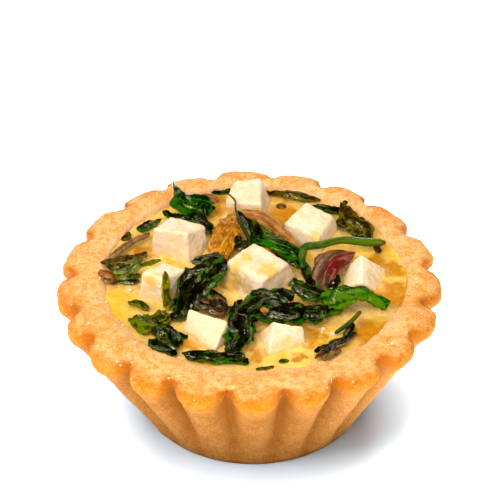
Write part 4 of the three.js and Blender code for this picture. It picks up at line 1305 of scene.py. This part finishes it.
def topping_looks():
    looks = {"red": red_onion_look()}
    for make_look, table in ((leaf_look, LEAF_LOOKS), (onion_look, ONION_LOOKS), (stalk_look, STALK_LOOKS)):
        looks.update({kind: make_look(*row) for kind, row in table.items()})
    return looks


def make_scraps(looks):
    for node, scraps in SCRAPS.items():
        for number, (kind, route) in enumerate(scraps):
            sheet = make_sheet(kind, 0, SCRAP_CAMBER, from_floor(route), SCRAP_SEED + 7 * number)
            lay_beside(join_sheets(f"scrap_by_{node}_{number}", [sheet], looks[kind]))


def make_toppings():
    looks = topping_looks()
    for seed, (node, (kind, lean, camber, route)) in enumerate(TOPPINGS.items()):
        dress(node, make_topping(node, kind, lean, camber, route, seed, looks[kind]))
    make_scraps(looks)
    for node, (kind, route) in STALKS.items():
        dress(node, make_stalk(node, route, looks[kind]))


# --- Stage ---

# Directions are degrees: azimuth 0 is in front of the quiche and 90 on its right.
VIEW_ELEVATION = 37.91  # the camera looks down at the rim's middle by this much
VIEW_DISTANCE = 800
VIEW_ROLL = 0.31
CLIPPED_AT = (0.05, 10)  # metres from the camera
FOCAL_PIXELS = 3466
FRAME_PIXELS = 500
RIM_BELOW_MIDDLE = 28.5  # pixels from the frame's middle down to the rim's middle
SENSOR = 36
SKY = 0.155
# Square lamps that look at the quiche: azimuth, elevation, distance, size and power.
LAMPS = {
    "key": (-32, 52, 700, 250, 3.5),
    "side": (-60, 35, 700, 250, 1.5),
    "front": (0, 42, 700, 250, 2.0),
    "fill": (60, 33, 700, 250, 1.6),
    "back": (-160, 60, 700, 500, 2.4),
}
# These light the floor alone, and keep it white up to the soft shadow round the foot.
FLOOR_LAMPS = {
    "backdrop": (-172, 63, 900, 1150, 70),
    "overhead": (-160, 78, 900, 450, 26),
    "foreground": (-15, 70, 900, 300, 12),
}


def towards(azimuth, elevation):
    turn, rise = math.radians(azimuth), math.radians(elevation)
    return np.array([math.sin(turn) * math.cos(rise), -math.cos(turn) * math.cos(rise), math.sin(rise)])


def set_up(thing, from_rim, backwards, roll=0.0):
    """Puts a camera or a lamp at a place seen from the rim's middle, with its back to a direction."""
    level = np.cross([0, 0, 1], backwards)
    level /= np.linalg.norm(level)
    upright = np.cross(backwards, level)
    right = level * math.cos(roll) - upright * math.sin(roll)
    up = level * math.sin(roll) + upright * math.cos(roll)
    place = Matrix.Translation((from_rim + [0, 0, RIM_HEIGHT]) * MM)
    thing.matrix_world = place @ Matrix(np.column_stack([right, up, backwards])).to_4x4()
    bpy.context.scene.collection.objects.link(thing)


def add_camera():
    aim = VIEW_ELEVATION - math.degrees(math.atan(RIM_BELOW_MIDDLE / FOCAL_PIXELS))
    camera = bpy.data.objects.new("camera", bpy.data.cameras.new("camera"))
    camera.data.sensor_width = SENSOR
    camera.data.lens = FOCAL_PIXELS / FRAME_PIXELS * SENSOR
    camera.data.clip_start, camera.data.clip_end = CLIPPED_AT
    set_up(camera, VIEW_DISTANCE * towards(0, VIEW_ELEVATION), towards(0, aim), math.radians(VIEW_ROLL))
    bpy.context.scene.camera = camera


def add_lamp(name, azimuth, elevation, distance, size, power):
    lamp = bpy.data.objects.new(name, bpy.data.lights.new(name, "AREA"))
    lamp.data.shape = "SQUARE"
    lamp.data.size = size * MM
    lamp.data.energy = power
    out = towards(azimuth, elevation)
    set_up(lamp, distance * out, out)
    return lamp


def add_floor():
    bpy.ops.mesh.primitive_plane_add(size=6)
    floor = bpy.context.object
    floor.name = "floor"
    look = Look("floor", Roughness=0.8, Specular_IOR_Level=0.1)
    look.set("Base Color", look.layers((0.37, 0.41, 0.445), (look.noise(40), (0.385, 0.43, 0.465))))
    floor.data.materials.append(look.material)
    return floor


def add_stage():
    world = bpy.data.worlds.new("studio")
    world.use_nodes = True
    sky = world.node_tree.nodes["Background"]
    sky.inputs["Color"].default_value = (1, 1, 1, 1)
    sky.inputs["Strength"].default_value = SKY
    bpy.context.scene.world = world
    bpy.context.scene.view_settings.view_transform = "Standard"
    floor_only = bpy.data.collections.new("floor_only")
    floor_only.objects.link(add_floor())
    for name, row in LAMPS.items():
        add_lamp(name, *row)
    for name, row in FLOOR_LAMPS.items():
        add_lamp(name, *row).light_linking.receiver_collection = floor_only


add_camera()
add_stage()
make_crust()
make_custard()
make_cheese()
make_toppings()
